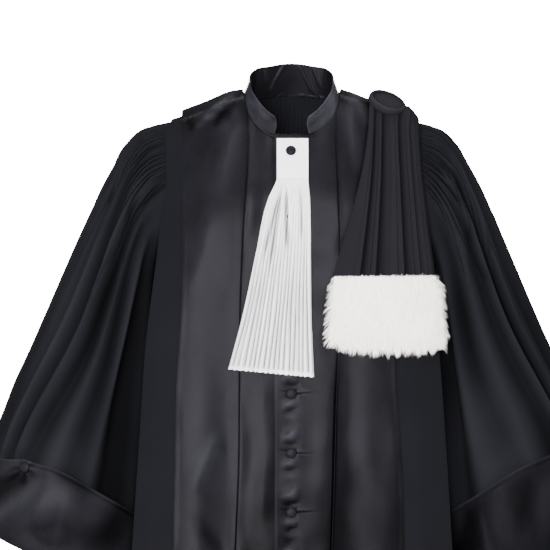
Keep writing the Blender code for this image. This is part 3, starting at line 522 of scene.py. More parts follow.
black_satin = satin_finish("black_satin", (0.0030, 0.0030, 0.0038), (0.0068, 0.0067, 0.0082), 0.23, 0.33)
BUTTON_PULL = table("above wide tall stand", (
    (0.0265, 0.0085, 0.006, 0.0022), (0.0128, 0.0105, 0.0042, -0.0016), (0.0, 0.01, 0.007, -0.0007),
    (-0.015, 0.009, 0.0042, 0.0017), (-0.0265, 0.008, 0.0045, -0.0013), (-0.035, 0.0075, 0.005, 0.0006),
    (-0.044, 0.0075, 0.0048, -0.0007),
))


def button_puckers(x, z):
    """The drawn-in cloth round every button: bumps and hollows above and below, and the hole's crease."""
    total = 0 * x
    dice = np.random.default_rng(5)
    for level in BUTTON_HEIGHTS[1:]:
        off_x, off_z = x - BUTTON_X, z - level
        for above, wide, tall, stand in zip(*BUTTON_PULL.values()):
            lean = dice.uniform(-0.35, 0.35)
            drift = dice.uniform(-0.0020, 0.0020)
            rise = off_z - above - lean * off_x
            puff = np.exp(-(((off_x - drift) / wide) ** 2) - (rise / tall) ** 2)
            total += stand * dice.uniform(0.75, 1.2) * puff
        slant = off_z - dice.uniform(-0.08, 0.08) * off_x
        hole = ease((off_x - 0.005) / 0.003) * (1 - ease((off_x - 0.010) / dice.uniform(0.026, 0.036)))
        total -= 0.0009 * hole * bell(slant, 0.0010)
        total += 0.0006 * hole * bell(slant - 0.0030, 0.0016)
        for turned in (-0.9, -0.35, 0.4, 0.95):
            spoke = off_z - turned * (off_x - 0.004)
            near = ease((off_x - 0.006) / 0.004) * (1 - ease((off_x - 0.010) / 0.010))
            total += 0.0007 * near * bell(spoke, 0.0016)
        pull = (1 - ease(-off_x / 0.022)) * ease(-(off_x + 0.005) / 0.005)
        total -= 0.0010 * pull * bell(off_z + 0.3 * off_x, 0.0018)
    return total


middle = np.linspace(PLACKET_EDGE_X, 0.022, 30)
lap_top = front_top(0.0)
close = np.concatenate([drop_at(0.0, level + np.linspace(-0.006, 0.006, 9)) for level in BUTTON_HEIGHTS])
rows = np.sort(np.concatenate([np.linspace(0, 1, 300), (close - lap_top) / (HEM_DROP - lap_top)]))
rows = rows[(rows >= 0) & (np.diff(rows, append=2) > 0.0004)]

for name, side_name in (("centre_under", "right"), ("centre_over", "left")):
    over = side_name == "left"
    places = np.concatenate([np.linspace(0.42, 0.88, 8), np.linspace(0.91, 1.01, 11), [1.06, 1.12]])
    x, drop = front_grid(side_name, places, rows if over else rows[::2], middle)
    z = height(x, drop)
    edge = read(FACING[side_name], "inner", drop)
    shown = ease((edge - np.abs(x)) / 0.012)
    opened = ease((drop - 0.36) / 0.12) * (1 - 0.65 * ease((drop - 0.52) / 0.2)) if over else 0
    gap = 0.0004 + 0.0022 * opened
    tucked = bell(np.abs(x) - edge + gap, gap + 0.0010) * ease((drop - 0.03) / 0.1)
    tucked *= x * SIDES[side_name] > 0.03
    stand = LAYERS[side_name] + front_drape(x, drop) - (0.0014 + 0.0034 * opened) * tucked
    puckers = button_puckers(x, z)
    stand += (puckers + 0.00045 * wandering(x * 9, z * 5, 33, low=1, high=4)) * shown
    around = np.min([np.hypot(x - BUTTON_X, z - level) for level in BUTTON_HEIGHTS[1:]], axis=0)
    # Painted shade and highlights in the satin's colour: a dark ring round each button, dark gaps where the
    # cloth tucks under the facing, lighter bumps and darker hollows at the puckers.
    shaded = -0.65 * bell(around - 0.0086, 0.0012) * over - (0.40 + 0.45 * opened) * tucked
    shaded += np.where(puckers > 0, puckers / 0.0010, puckers / 0.0020)
    from_edge = x - PLACKET_EDGE_X
    # Painted shade under the collar along the neckline on both faces, and painted shade towards the bottom.
    neckline = 0.9 * bell(drop - front_top(x), 0.004) * (np.abs(x) < 0.034)
    lower_painted_shade = 0.42 * ease((-z - 0.56) / 0.10)
    if over:
        # A painted highlight along the lapped edge.
        shaded += 0.5 * bell(from_edge - 0.0020, 0.0012)
        shaded = shaded - neckline - lower_painted_shade - 0.16 * ease((-z - 0.42) / 0.12)
    else:
        # A painted shadow along the edge of the lap, and a slanting painted shadow below.
        shaded -= 0.7 * bell(from_edge + 0.0008, 0.0020)
        slanted = x + 0.0430 + 0.15 * (-z - 0.522)
        lower = ease((-z - 0.50) / 0.08)
        shaded -= 0.35 * bell(from_edge + 0.004, 0.008) * ease((drop - 0.47) / 0.1) * (1 - lower)
        shaded = shaded - 0.38 * ease(slanted / 0.014 + 0.5) * lower - neckline - lower_painted_shade
        stand += 0.0006 * wandering(x * 8, z * 4, 34) * ease((-x - 0.03) / 0.01) * shown
    panel = cloth(name, *both_faces(front, x, drop, stand, SATIN), black_satin,
                  painted_shading=(np.clip(shaded, -0.9, 1.8), -neckline))
    dress(panel, f"front_{name}")

# FACINGS
# A long band of heavier satin down each front, 90 to 100 mm wide, from the hem up and over the shoulder
# seam. Both edges are turned under and slip-stitched, so they stand a little proud of what they cover. The
# creases are real; the rows of sheen are painted highlights and painted shade in the satin's colour.

facing_satin = satin_finish("facing_satin", (0.0030, 0.0030, 0.0038), (0.0070, 0.0068, 0.0086), 0.23, 0.33)
SASH_EDGE = {"top_x": 0.1168, "bottom_x": 0.0605, "start_z": -0.020, "end_z": -0.279}
FACING_TOP_STAND = 0.0026
FACING_TOP_RISE = {"right": 0.0045, "left": 0.0005}
FACING_EDGE_LIFT = {"right": 0.0008, "left": 0.0010}
STITCH_LENGTH = 0.011
FACING_CREASES = {
    "right": [
        (-0.088, -0.004, -0.13, -0.04, 0.006, 0.002), (-0.092, -0.006, -0.118, -0.052, 0.005, -0.0016),
        (-0.082, -0.03, -0.112, -0.15, 0.01, 0.0014), (-0.12, -0.19, -0.15, -0.3, 0.011, 0.0007),
        (-0.11, -0.52, -0.15, -0.6, 0.011, 0.0014), (-0.15, -0.64, -0.1, -0.7, 0.012, -0.0012),
    ],
    "left": [
        (0.088, -0.006, 0.12, -0.05, 0.007, 0.0016), (0.09, -0.01, 0.1, -0.12, 0.008, 0.0012),
        (0.1, -0.43, 0.12, -0.62, 0.018, 0.0007), (0.15, -0.5, 0.14, -0.72, 0.014, 0.0005),
    ],
}
# Painted sheen: rows of a line's two ends, its width and how much lighter the satin's colour is painted;
# negative rows paint it darker.
FACING_PAINTED_SHEEN = {
    "right": [
        (-0.08, -0.002, -0.142, -0.052, 0.003, 2.0), (-0.07, -0.012, -0.11, -0.062, 0.006, 0.5),
        (-0.09, -0.03, -0.1, -0.046, 0.007, -0.5), (-0.158, -0.04, -0.15, -0.06, 0.007, -0.5),
    ],
    "left": [
        (0.09, -0.004, 0.106, -0.032, 0.0045, 1.1), (0.1, -0.002, 0.115, -0.026, 0.0045, -0.6),
    ],
}


def creases(x, z, rows):
    """How far creases stand out, also used for how much painted highlight and painted shade lie along lines.
    A row has a line's two ends, its width and its height.
    """
    total = 0 * x
    for x0, z0, x1, z1, wide, stand in rows:
        run = np.array([x1 - x0, z1 - z0])
        long = np.hypot(*run)
        along = ((x - x0) * run[0] + (z - z0) * run[1]) / long ** 2
        off = ((x - x0) * run[1] - (z - z0) * run[0]) / long
        fade = ease((along + 0.15) / 0.4) * ease((1.15 - along) / 0.4)
        total += stand * fade * bell(off, wide)
    return total


for side_name, sign in SIDES.items():
    x, drop = front_grid(side_name, np.linspace(1, 2, 40), np.linspace(0, 1, 200))
    z = height(x, drop)
    inner_edge = np.abs(x) - read(FACING[side_name], "inner", drop)
    outer_edge = read(FACING[side_name], "outer", drop) - np.abs(x)
    rest = ease(inner_edge / 0.012) * ease(outer_edge / 0.012)
    pulls = creases(x, z, FACING_CREASES[side_name])
    stand = LAYERS[side_name] + SEAM + SATIN + front_drape(x, drop)
    stand = stand + 0.0003 * bell(outer_edge, 0.004) + 0.0004 * bell(inner_edge, 0.004)
    stand += FACING_TOP_STAND * (1 - ease((drop - 0.012) / 0.014))
    stand += FACING_EDGE_LIFT[side_name] * bell(inner_edge, 0.012) * ease(drop / 0.25)
    stitches = 1 + np.sin(z * 2 * math.pi / STITCH_LENGTH + 2 * wandering(z * 3, 0 * z, 8))
    stand += 0.00025 * bell(outer_edge - 0.003, 0.0025) * stitches
    stand += rest * (0.00036 * (1 + wandering(x * 8, z * 3.2, 41 + sign, low=1, high=4)))
    stand += rest * np.maximum(pulls, -0.0009)
    beside = ease((z - SASH_EDGE["start_z"]) / (SASH_EDGE["end_z"] - SASH_EDGE["start_z"]) / 2) * 2
    beside = x - SASH_EDGE["top_x"] - (SASH_EDGE["bottom_x"] - SASH_EDGE["top_x"]) * beside
    # Painted shade in the satin's colour: darker in the creases and lighter on their ridges, a painted shadow
    # along the inner edge and beside the sash's edge.
    shaded = np.clip(pulls / 0.0022, -0.5, 0.4) * rest - 0.35 * bell(inner_edge, 0.0012)
    shaded -= 0.7 * bell(beside - 0.001, 0.0045) * ease((z + 0.30) / 0.02)
    # Each side is painted darker or lighter in bands down its length, and near the neck a patch of painted
    # shade.
    if side_name == "left":
        shaded = shaded - 0.32 * ease((-z - 0.34) / 0.1) - 0.34 * ease((-z - 0.46) / 0.2)
    else:
        shaded = shaded - 0.14 * ease((z + 0.28) / 0.06) - 0.20 * ease((z + 0.06) / 0.04)
        shaded += 0.14 * ease((-z - 0.30) / 0.06) * (1 - 2.2 * ease((-z - 0.54) / 0.08))
    shaded -= 0.5 * bell(np.hypot(np.abs(x) - 0.077, z + 0.010), 0.016)
    shaded = np.clip(shaded + creases(x, z, FACING_PAINTED_SHEEN[side_name]), -0.9, 1.8)
    over_seam = np.clip(1 - drop / 0.014, 0, 1) ** 1.5 * ease(inner_edge / 0.030)
    over_seam = over_seam[..., None] * np.array([0, 0.002, FACING_TOP_RISE[side_name]])
    outer, inner = both_faces(front, x, drop, stand, SATIN)
    panel = cloth(f"satin_facing_{side_name}", outer + over_seam, inner + over_seam, facing_satin,
                  painted_shading=(shaded, 0))
    dress(panel, f"facing_{side_name}")

# COLLAR
# A stiffened stand of satin on the neck seam, higher behind, open in front with rounded ends. Its satin is
# drawn over the stiffening and turned in at the top, so it wrinkles a little inside.

COLLAR_THICK = 0.0020
NECK_CENTRE_Y = -0.012
COLLAR_OVERLAP = {"front": 0.0060, "back": 0.0025}
NECK_GAP_DEG = 21
COLLAR = table("around rise lean", (
    (20, 0.025, 0.016), (60, 0.026, 0.013), (90, 0.0225, 0.008), (105, 0.034, 0.008),
    (124, 0.045, 0.009), (150, 0.048, 0.01), (180, 0.048, 0.01),
))


def neck_seam(degrees):
    """A point of the collar seam, from 0 at the front through 90 at the wearer's left side."""
    around = np.radians(degrees)
    x = NECK_HALF_WIDTH * np.sin(around)
    ahead = front(x, drop_at(x, neckline_height(x)))
    behind_drop = back_top(x)
    behind = np.stack([x, read(BODY, "back", behind_drop), height(x, behind_drop)], axis=-1)
    return np.where((np.cos(around) > 0)[..., None], ahead, behind)


def collar_point(degrees, up):
    """A point of the stand collar's outer face: up is 0 at its seam and 1 at its top edge."""
    seam = neck_seam(degrees)
    from_front = np.minimum(degrees, 360 - degrees)
    rise = read(COLLAR, "rise", from_front)
    lean = read(COLLAR, "lean", from_front)
    inward = np.array([0, NECK_CENTRE_Y, 0]) - seam
    inward[..., 2] = 0
    inward /= np.linalg.norm(inward, axis=-1, keepdims=True)
    lift = np.zeros_like(seam)
    lift[..., 2] = rise
    lower = 1 - ease((from_front - NECK_GAP_DEG) / 45)
    below = COLLAR_OVERLAP["back"] + (COLLAR_OVERLAP["front"] - COLLAR_OVERLAP["back"]) * lower
    start = (below / rise)[..., None]
    reach = up[..., None] * (1 + start) - start
    return seam + reach * (inward * lean[..., None] + lift)


COLLAR_CREASES = [
    (-0.052, 0.018, -0.042, 0.046, 0.0022, 0.0012), (-0.036, 0.008, -0.024, 0.031, 0.002, 0.0013),
    (-0.025, 0.029, -0.014, 0.047, 0.002, 0.0012), (0.013, 0.047, 0.028, 0.026, 0.0022, 0.0013),
    (0.027, 0.028, 0.036, 0.01, 0.002, 0.0011), (0.043, 0.026, 0.051, 0.046, 0.0022, 0.0011),
    (-0.09, 0.01, -0.078, 0.036, 0.003, 0.0008), (0.09, 0.01, 0.08, 0.036, 0.003, 0.0008),
]

shift = np.linspace(-1, 1, 190)[None, :]
degrees = 180 + (180 - NECK_GAP_DEG) * np.sign(shift) * np.abs(shift) ** 0.85
up = np.linspace(0, 1, 40)[:, None] + 0 * degrees
from_front = np.minimum(degrees, 360 - degrees)
end = np.clip(1 - (from_front - NECK_GAP_DEG) / 7, 0, 1)
up = up * (1 - 0.36 * end ** 2)
degrees = degrees + 0 * up
outer = collar_point(degrees, up)
run = collar_point(degrees + 0.5, up) - collar_point(degrees - 0.5, up)
rise = collar_point(degrees, up + 0.05) - collar_point(degrees, up - 0.05)
normal = np.cross(run, rise)
normal /= np.linalg.norm(normal, axis=-1, keepdims=True)
edge = bell(up - 1, 0.10) + bell(up, 0.08)
puff = 0.0004 * np.clip(edge, 0, 1) + 0.00016 * wandering(degrees / 70, up * 0.8, 51, low=0.5, high=1.5)
reach = (degrees - 180) * math.pi / 180 * NECK_HALF_WIDTH
ridges = creases(reach, up * 0.048, COLLAR_CREASES)
drawn = 0.0004 * wandering(degrees / 60, up * 1.0, 52, low=0.6, high=1.6) + ridges
crinkle = 0.0002 + 0.0005 * wandering(degrees / 9, 0 * up, 53, waves=9, low=0.6, high=2)
drawn += crinkle * bell(up - 0.045, 0.035)
# Painted light in the satin's colour: lighter on the sides, a painted highlight along the top edge and the
# front ends, painted shade at the seam, one side painted brighter than the other, and mottled painted sheen.
edge_painted_highlight = bell(up - np.max(up, axis=0) + 0.035, 0.03) + bell(from_front - 21.6, 0.7)
painted_brightness = 0.30 + 1.5 * ease((from_front - 32) / 35) * (1 - ease((from_front - 110) / 40))
painted_brightness = painted_brightness + 2.2 * np.clip(edge_painted_highlight, 0, 1) - 1.9 * bell(up, 0.045)
painted_brightness = painted_brightness * np.where(degrees > 180, 0.62, 1.22) - np.where(degrees > 180, 0.12, 0.0)
painted_brightness += 0.34 * wandering(degrees / 34, up * 1.3, 54, waves=9, low=0.8, high=2.6)
# The inside face is painted darker, with painted highlights on its crease ridges.
lining_painted_shade = -0.35 + 300 * np.maximum(ridges, 0)
stand_collar = cloth("stand_collar", outer + normal * puff[..., None],
                     outer - normal * (COLLAR_THICK + drawn)[..., None], black_satin,
                     painted_shading=(np.maximum(painted_brightness, -0.8), lining_painted_shade))
dress(stand_collar, "collar")

# SLEEVES
# Very full bells of the wool. The head is drawn up with rows of stitching into fine cartridge pleats,
# which open below it into long folds that fan out to the cuff, deepest beside the body.

SLEEVE_LENGTH = 0.610
MIDDLE_ALONG = 0.4
HEAD_REACH = 80
HEAD_RIBS = 78
SLEEVE = table("along outer_x outer_z inner_x inner_z front back", (
    (0.0, 0.179, -0.046, 0.207, -0.277, 0.08, 0.06), (0.05, 0.222, -0.057, 0.21, -0.303, 0.079, 0.072),
    (0.1, 0.252, -0.082, 0.212, -0.328, 0.086, 0.082),
    (0.17, 0.276, -0.124, 0.215, -0.363, 0.098, 0.092),
    (0.3, 0.314, -0.205, 0.22, -0.427, 0.104, 0.104), (0.5, 0.371, -0.331, 0.227, -0.527, 0.11, 0.114),
    (0.75, 0.442, -0.489, 0.235, -0.651, 0.113, 0.118),
    (1.0, 0.512, -0.648, 0.243, -0.774, 0.112, 0.116),
))
ARMHOLE_GAP = table("around out up", (
    (0, 0.0012, 0.0), (70, 0.0012, 0.0), (90, 0.0014, 0.002), (120, 0.002, 0.002), (180, 0.0038, 0.002),
    (240, 0.002, 0.002), (270, 0.0014, 0.001), (300, 0.0012, 0.0), (360, 0.0012, 0.0),
))
SLEEVE_FOLDS = {
    "right": table("head middle cuff stand", (
        (8, 10, 8, 0.004), (24, 26, 20, 0.002), (38, 41, 30, -0.006), (44, 51, 38, 0.009),
        (52, 59, 44, -0.011), (66, 66, 50, 0.01), (79, 79, 60, -0.014), (86, 88, 79, 0.009),
        (96, 101, 92, -0.006), (105, 108, 107, 0.007), (121, 119, 124, -0.017), (142, 150, 156, 0.002),
        (180, 180, 180, -0.002), (206, 205, 204, 0.006), (226, 224, 222, -0.012), (246, 243, 240, 0.01),
        (264, 261, 258, -0.012), (280, 278, 276, 0.01), (296, 295, 294, -0.01), (310, 310, 310, 0.009),
        (324, 326, 328, -0.008), (342, 344, 345, 0.004),
    )),
    "left": table("head middle cuff stand", (
        (8, 8, 8, 0.004), (22, 30, 22, -0.005), (34, 49, 36, 0.009), (46, 55, 42, -0.01),
        (54, 61, 47, 0.008), (62, 68, 53, -0.012), (77, 86, 76, 0.01), (98, 105, 92, -0.005),
        (109, 117, 116, 0.006), (128, 137, 138, -0.017), (146, 154, 158, 0.002),
        (180, 180, 180, -0.002), (204, 203, 202, 0.006), (222, 221, 220, -0.011), (240, 239, 238, 0.01),
        (258, 257, 256, -0.012), (276, 275, 274, 0.011), (292, 292, 292, -0.01), (308, 308, 308, 0.008),
        (322, 324, 326, -0.008), (336, 339, 342, 0.006), (350, 352, 354, -0.002),
    )),
}
SLEEVE_FOLD_GROWTH = table("along share", (
    (0.0, 0.0), (0.05, 0.1), (0.12, 0.45), (0.3, 0.95), (0.55, 1.1), (0.75, 0.9), (0.88, 0.4),
    (1.0, 0.0),
))


def armhole(degrees):
    """A point of the left sleeve's edge, from 0 on the shoulder through 90 in front and 270 behind."""
    degrees = np.asarray(degrees, float) % 360
    around = np.radians(degrees)
    drop = ARMHOLE_DROP / 2 * (1 - np.cos(around))
    turn = np.arccos(armhole_share(drop)) / (math.pi / 2)
    in_front = side(turn, drop)
    behind = back(1.0, drop)
    behind[..., 2] -= FOLD_CLEAR * ease((degrees - 335) / 25)
    point = np.where((around < math.pi)[..., None], in_front, behind)
    point[..., 0] += read(ARMHOLE_GAP, "out", degrees)
    point[..., 2] += read(ARMHOLE_GAP, "up", degrees)
    return point


def tube(degrees, along):
    """The sleeve as a plain tube between its outer and inner lines."""
    around = np.radians(degrees)
    part = {name: read(SLEEVE, name, along) for name in SLEEVE}
    middle_x = (part["outer_x"] + part["inner_x"]) / 2
    middle_z = (part["outer_z"] + part["inner_z"]) / 2
    reach = np.cos(around)
    deep = np.where(np.sin(around) > 0, part["front"], part["back"])
    x = middle_x + (part["outer_x"] - middle_x) * reach
    z = middle_z + (part["outer_z"] - middle_z) * reach
    y = -deep * np.sign(np.sin(around)) * np.abs(np.sin(around)) ** 0.9
    return np.stack([x, y, z], axis=-1)


def sleeve(degrees, along):
    """A point of the left sleeve's plain form, from the armhole at along 0 to the cuff's hem at 1."""
    degrees, along = np.broadcast_arrays(np.asarray(degrees, float), np.asarray(along, float))
    held = 1 - ease(along / 0.20)[..., None]
    return tube(degrees, along) + held * (armhole(degrees) - tube(degrees, 0 * along))


def fold_field(side_name, heads, along):
    """Where columns that start at these head degrees have moved to, and how far their folds stand out."""
    folds = SLEEVE_FOLDS[side_name]
    closed = {name: np.concatenate([folds[name][-1:] - 360, folds[name], folds[name][:1] + 360])
              for name in ("head", "middle", "cuff")}
    stands = np.concatenate([folds["stand"][-1:], folds["stand"], folds["stand"][:1]])
    moved = {name: np.interp(heads, closed["head"], closed[name]) for name in ("head", "middle", "cuff")}
    i = np.clip(np.searchsorted(closed["head"], heads, side="right") - 1, 0, len(stands) - 2)
    part = (heads - closed["head"][i]) / (closed["head"][i + 1] - closed["head"][i])
    stand = stands[i] + (stands[i + 1] - stands[i]) * ease(part)
    at = moved["head"] + (moved["middle"] - moved["head"]) * ease(along / MIDDLE_ALONG)
    at = at + (moved["cuff"] - moved["middle"]) * ease((along - MIDDLE_ALONG) / MIDDLE_ALONG)
    return at, stand * read(SLEEVE_FOLD_GROWTH, "share", along)


def sleeve_relief(heads, along, seed):
    """Smaller forms on the folds: the released pleats below the head, and slack cloth above the cuff."""
    signed = (heads + 180) % 360 - 180
    in_head = 1 - ease((np.abs(signed) - 70) / 25)
    drift = signed / 5.2 + 0.9 * wandering(signed / 40, along * 1.2, seed)
    reach = 0.30 + 0.16 * wandering(signed / 22, 0 * along, seed + 3)
    released = ease(along / 0.06) * (1 - ease((along - 0.35 * reach) / np.maximum(reach, 0.12)))
    narrow = np.abs(np.sin(math.pi * drift)) ** 0.55 - 0.72
    wide = wandering(heads / 75, along * 0.9, seed + 1, waves=6, low=0.8, high=2)
    slack = wandering(heads / 50, along * 3, seed + 2, waves=7) * ease((along - 0.5) / 0.3)
    return 0.0058 * narrow * released * in_head + 0.0020 * wide * ease(along / 0.3) + 0.0010 * slack


def ring_strip(upper, upper_at, lower, lower_at):
    """Triangles between two closed rings of point numbers that differ in count."""
    faces, i, j = [], 0, 0
    m, n = len(upper), len(lower)
    while i < m or j < n:
        next_upper = upper_at[(i + 1) % m] + (360 if i + 1 >= m else 0)
        next_lower = lower_at[(j + 1) % n] + (360 if j + 1 >= n else 0)
        if j >= n or (i < m and next_upper <= next_lower):
            faces.append((upper[i % m], upper[(i + 1) % m], lower[j % n]))
            i += 1
        else:
            faces.append((upper[i % m], lower[(j + 1) % n], lower[j % n]))
            j += 1
    return faces


def all_round(*spans):
    """Degrees spaced evenly in each span of start, end and count."""
    return np.concatenate([np.linspace(*span, endpoint=False) for span in spans])


def bell_sleeve(side_name, sign):
    form = mirrored(sleeve, sign)
    fine = all_round((-HEAD_REACH, HEAD_REACH, HEAD_RIBS * 5), (HEAD_REACH, 360 - HEAD_REACH, 50))
    fine = np.sort(fine % 360)
    coarse = all_round((0, 15, 10), (15, 125, 150), (125, 360, 110))
    rings = [(fine, a) for a in np.linspace(0, 0.085, 9)]
    rings += [(coarse, a) for a in 0.10 + 0.90 * np.linspace(0, 1, 80)]
    points, numbers, start, shaded = {"outer": [], "inner": []}, [], 0, []
    for heads, along in rings:
        along = np.full(len(heads), along)
        at, stand = fold_field(side_name, heads, along)
        signed = (heads + 180) % 360 - 180
        held = (1 - ease((along - 0.045) / 0.05)) * (np.abs(signed) < HEAD_REACH)
        ribs = 0.0018 * held * np.abs(np.sin(math.pi * (signed + HEAD_REACH) * HEAD_RIBS / (2 * HEAD_REACH)))
        relief = sleeve_relief(heads, along, 60 + sign)
        stand += relief
        points["outer"].append(lifted(form, at, along, stand + ribs, facing=-sign, step=0.01))
        points["inner"].append(lifted(form, at, along, stand - WOOL, facing=-sign, step=0.01))
        # Painted light in the wool's colour: lighter on fold ridges, darker in the troughs and between the
        # head's ribs.
        shade = 0.50 * np.tanh((stand + 0.001) / 0.009) + 0.35 * np.tanh(relief / 0.003)
        shaded.append(np.maximum(shade, -0.6) - 0.35 * held * (ribs < 0.0008))
        numbers.append(np.arange(start, start + len(heads)))
        start += len(heads)
    faces = []
    for (upper, upper_n), (lower, lower_n) in zip(zip(rings, numbers), zip(rings[1:], numbers[1:])):
        if len(upper_n) == len(lower_n):
            a, b = upper_n, lower_n
            faces += np.stack([a, np.roll(a, -1), np.roll(b, -1), b], axis=-1).tolist()
        else:
            faces += ring_strip(upper_n.tolist(), upper[0], lower_n.tolist(), lower[0])
    faces = faces + [[n + start for n in reversed(face)] for face in faces]
    for ring, turned in ((numbers[0], False), (numbers[-1], True)):
        a = ring[::-1] if turned else ring
        faces += np.stack([a, np.roll(a, -1), np.roll(a, -1) + start, a + start], axis=-1)[:, ::-1].tolist()
    points = np.concatenate(points["outer"] + points["inner"])
    painted_shading = np.concatenate(shaded * 2)
    return piece_of(f"bell_sleeve_{side_name}", points, faces, black_wool, painted_shading)


for side_name, sign in SIDES.items():
    bell_shaped = bell_sleeve(side_name, sign)
    dress(bell_shaped, f"sleeve_{side_name}")

# CUFFS
# Deep bands of satin turned back over the sleeves, held up by one covered button on the front of each. The
# free upper edge is bagged out, so it is round and crisp; the button draws it into a few short creases.

CUFF_THICK = 0.0012
CUFF_HEM_STAND = 0.0022
CUFF_BUTTON_DEG = {"right": 62, "left": 54}
CUFF_BUTTON_BELOW_EDGE = 0.011
CUFF_METRES_A_DEGREE = 0.0025
CUFF_SAG = {"right": 0.0016, "left": 0.0009}
# Painted shade over each cuff, and rows of painted highlight streaks: a line's two ends, width and amount.
CUFF_PAINTED_SHADE = {"right": 0.05, "left": 0.44}
CUFF_PAINTED_STREAKS = {
    "right": [(0.195, 0.016, 0.085, 0.150, 0.013, 1.1), (0.168, 0.016, 0.100, 0.050, 0.016, -0.9),
              (0.232, 0.030, 0.236, 0.110, 0.006, 0.35), (0.300, 0.010, 0.300, 0.120, 0.030, -0.5)],
    "left": [(0.205, 0.020, 0.255, 0.100, 0.012, -0.1), (0.120, 0.016, 0.095, 0.070, 0.014, 0.7),
             (0.300, 0.030, 0.300, 0.120, 0.006, 0.5)],
}
CUFF = {
    "right": table("around height stand", (
        (0, 0.092, 0.012), (30, 0.094, 0.013), (50, 0.109, 0.011), (61, 0.123, 0.01), (66, 0.126, 0.01),
        (80, 0.138, 0.012), (120, 0.149, 0.013), (180, 0.14, 0.012), (270, 0.108, 0.013),
        (360, 0.092, 0.012),
    )),
    "left": table("around height stand", (
        (0, 0.104, 0.012), (30, 0.118, 0.013), (50, 0.138, 0.01), (58, 0.136, 0.01), (90, 0.15, 0.012),
        (130, 0.152, 0.013), (180, 0.14, 0.012), (270, 0.108, 0.013), (360, 0.104, 0.012),
    )),
}


def cuff_point(side_name, sign, degrees, up, extra):
    """A point of the turned-back cuff: up is 0 at the sleeve's hem and 1 at the cuff's top edge."""
    cuff = CUFF[side_name]
    tall = read(cuff, "height", degrees % 360)
    stand = read(cuff, "stand", degrees % 360)
    along = 1 - up * tall / SLEEVE_LENGTH
    rise = CUFF_HEM_STAND + (stand - CUFF_HEM_STAND) * np.clip(up, 0, 1) ** 0.7
    return lifted(mirrored(sleeve, sign), degrees, along, rise + extra, facing=-sign, step=0.01)


for side_name, sign in SIDES.items():
    degrees, up = np.broadcast_arrays(np.linspace(0, 360, 210, endpoint=False)[None, :],
                                      np.linspace(-0.02, 1, 28)[:, None])
    crest = (1 - up) * read(CUFF[side_name], "height", degrees)
    from_button = (degrees - CUFF_BUTTON_DEG[side_name]) * CUFF_METRES_A_DEGREE
    below = crest - CUFF_BUTTON_BELOW_EDGE
    away = np.hypot(from_button, below)
    spokes = np.cos(np.arctan2(below, from_button) * 7 + 0.8) * ease(away / 0.006) * bell(away, 0.022)
    sag = CUFF_SAG[side_name] * wandering(degrees / 60, up * 1.1, 71 + sign, waves=6, low=0.6, high=2)
    sag = sag * ease(up / 0.3)
    relief = 0.0009 * bell(crest, 0.004) + np.maximum(sag, -0.0010) * ease((1 - up) / 0.1) + 0.0009 * spokes
    # Painted light in the satin's colour: a painted highlight on the crest, painted shade below it, lighter
    # and darker spokes round the button and on the slack cloth.
    shaded = 0.9 * bell(crest - 0.0012, 0.0014) - 0.5 * bell(crest - 0.0050, 0.0020)
    shaded = shaded + 0.8 * np.clip(spokes, -1, 1) + np.clip(sag / 0.003, -0.3, 0.4)
    shaded += creases(degrees * CUFF_METRES_A_DEGREE, crest, CUFF_PAINTED_STREAKS[side_name])
    shaded -= CUFF_PAINTED_SHADE[side_name] * ease((crest - 0.004) / 0.01)
    outer, inner = (cuff_point(side_name, sign, degrees, up, out) for out in (relief, relief - CUFF_THICK))
    panel = cloth(f"turned_cuff_{side_name}", outer, inner, black_satin, round_it=True,
                  painted_shading=(np.clip(shaded, -0.8, 1.6), 0))
    dress(panel, f"cuff_{side_name}")

# BUTTONS
# Domed shanks covered with gathered satin: fourteen down the front, the first of them through the tab of
# the neckpiece, and one on each cuff. They stay fastened.

BUTTON_RADIUS = 0.008
BUTTON_HEIGHT = 0.0045
BUTTON_SEAT = 0.0004
TAB_THICK = 0.0014
BUTTON_DOME = [(0.80, 0.0), (0.93, 0.10), (1.0, 0.30), (0.97, 0.50), (0.86, 0.72), (0.66, 0.88),
               (0.40, 0.97), (0.16, 1.0)]

button_satin = satin_finish("button_satin", (0.0040, 0.0040, 0.0050), (0.0070, 0.0070, 0.0085), 0.30, 0.40)


def turned_piece(name, profile, around, where, finish, ripple=0.0, painted_shading=0.0):
    """A round piece turned from radius and height, open at neither end."""
    angles = np.arange(around) * 2 * math.pi / around
    radius = np.array([r for r, _ in profile])[:, None] * (1 + ripple * np.cos(angles * 9)[None, :])
    level = np.array([h for _, h in profile])[:, None] + 0 * radius
    rings = np.stack([radius * np.cos(angles), radius * np.sin(angles), level], axis=-1)
    count = len(profile)
    numbers = np.arange(count * around).reshape(count, around)
    ahead = np.roll(numbers, -1, 1)
    quads = np.stack([numbers[:-1], ahead[:-1], ahead[1:], numbers[1:]], axis=-1)
    faces = quads.reshape(-1, 4).tolist() + [numbers[0, ::-1].tolist(), numbers[-1].tolist()]
    points = rings.reshape(-1, 3) @ np.array(where.to_3x3()).T + np.array(where.translation)
    # Painted light per ring of the profile, which scales the base colour.
    painted_shading = (np.zeros(radius.shape) + np.reshape(painted_shading, (-1, 1))).ravel()
    return piece_of(name, points, faces, finish, painted_shading)


def standing(point, normal):
    turn = Vector(normal).to_track_quat("Z", "Y").to_matrix().to_4x4()
    return Matrix.Translation(Vector(point)) @ turn


def covered_button(node, form_at, out):
    """A button on its seat, this far out over a form, square to it."""
    point = form_at(out)
    where = standing(point, (point - form_at(out - 0.001)) / 0.001)
    profile = [(BUTTON_RADIUS * r, BUTTON_HEIGHT * h) for r, h in BUTTON_DOME]
    made = turned_piece(f"covered_{node}", profile, 28, where, button_satin, 0.008)
    hand_over(made, node)


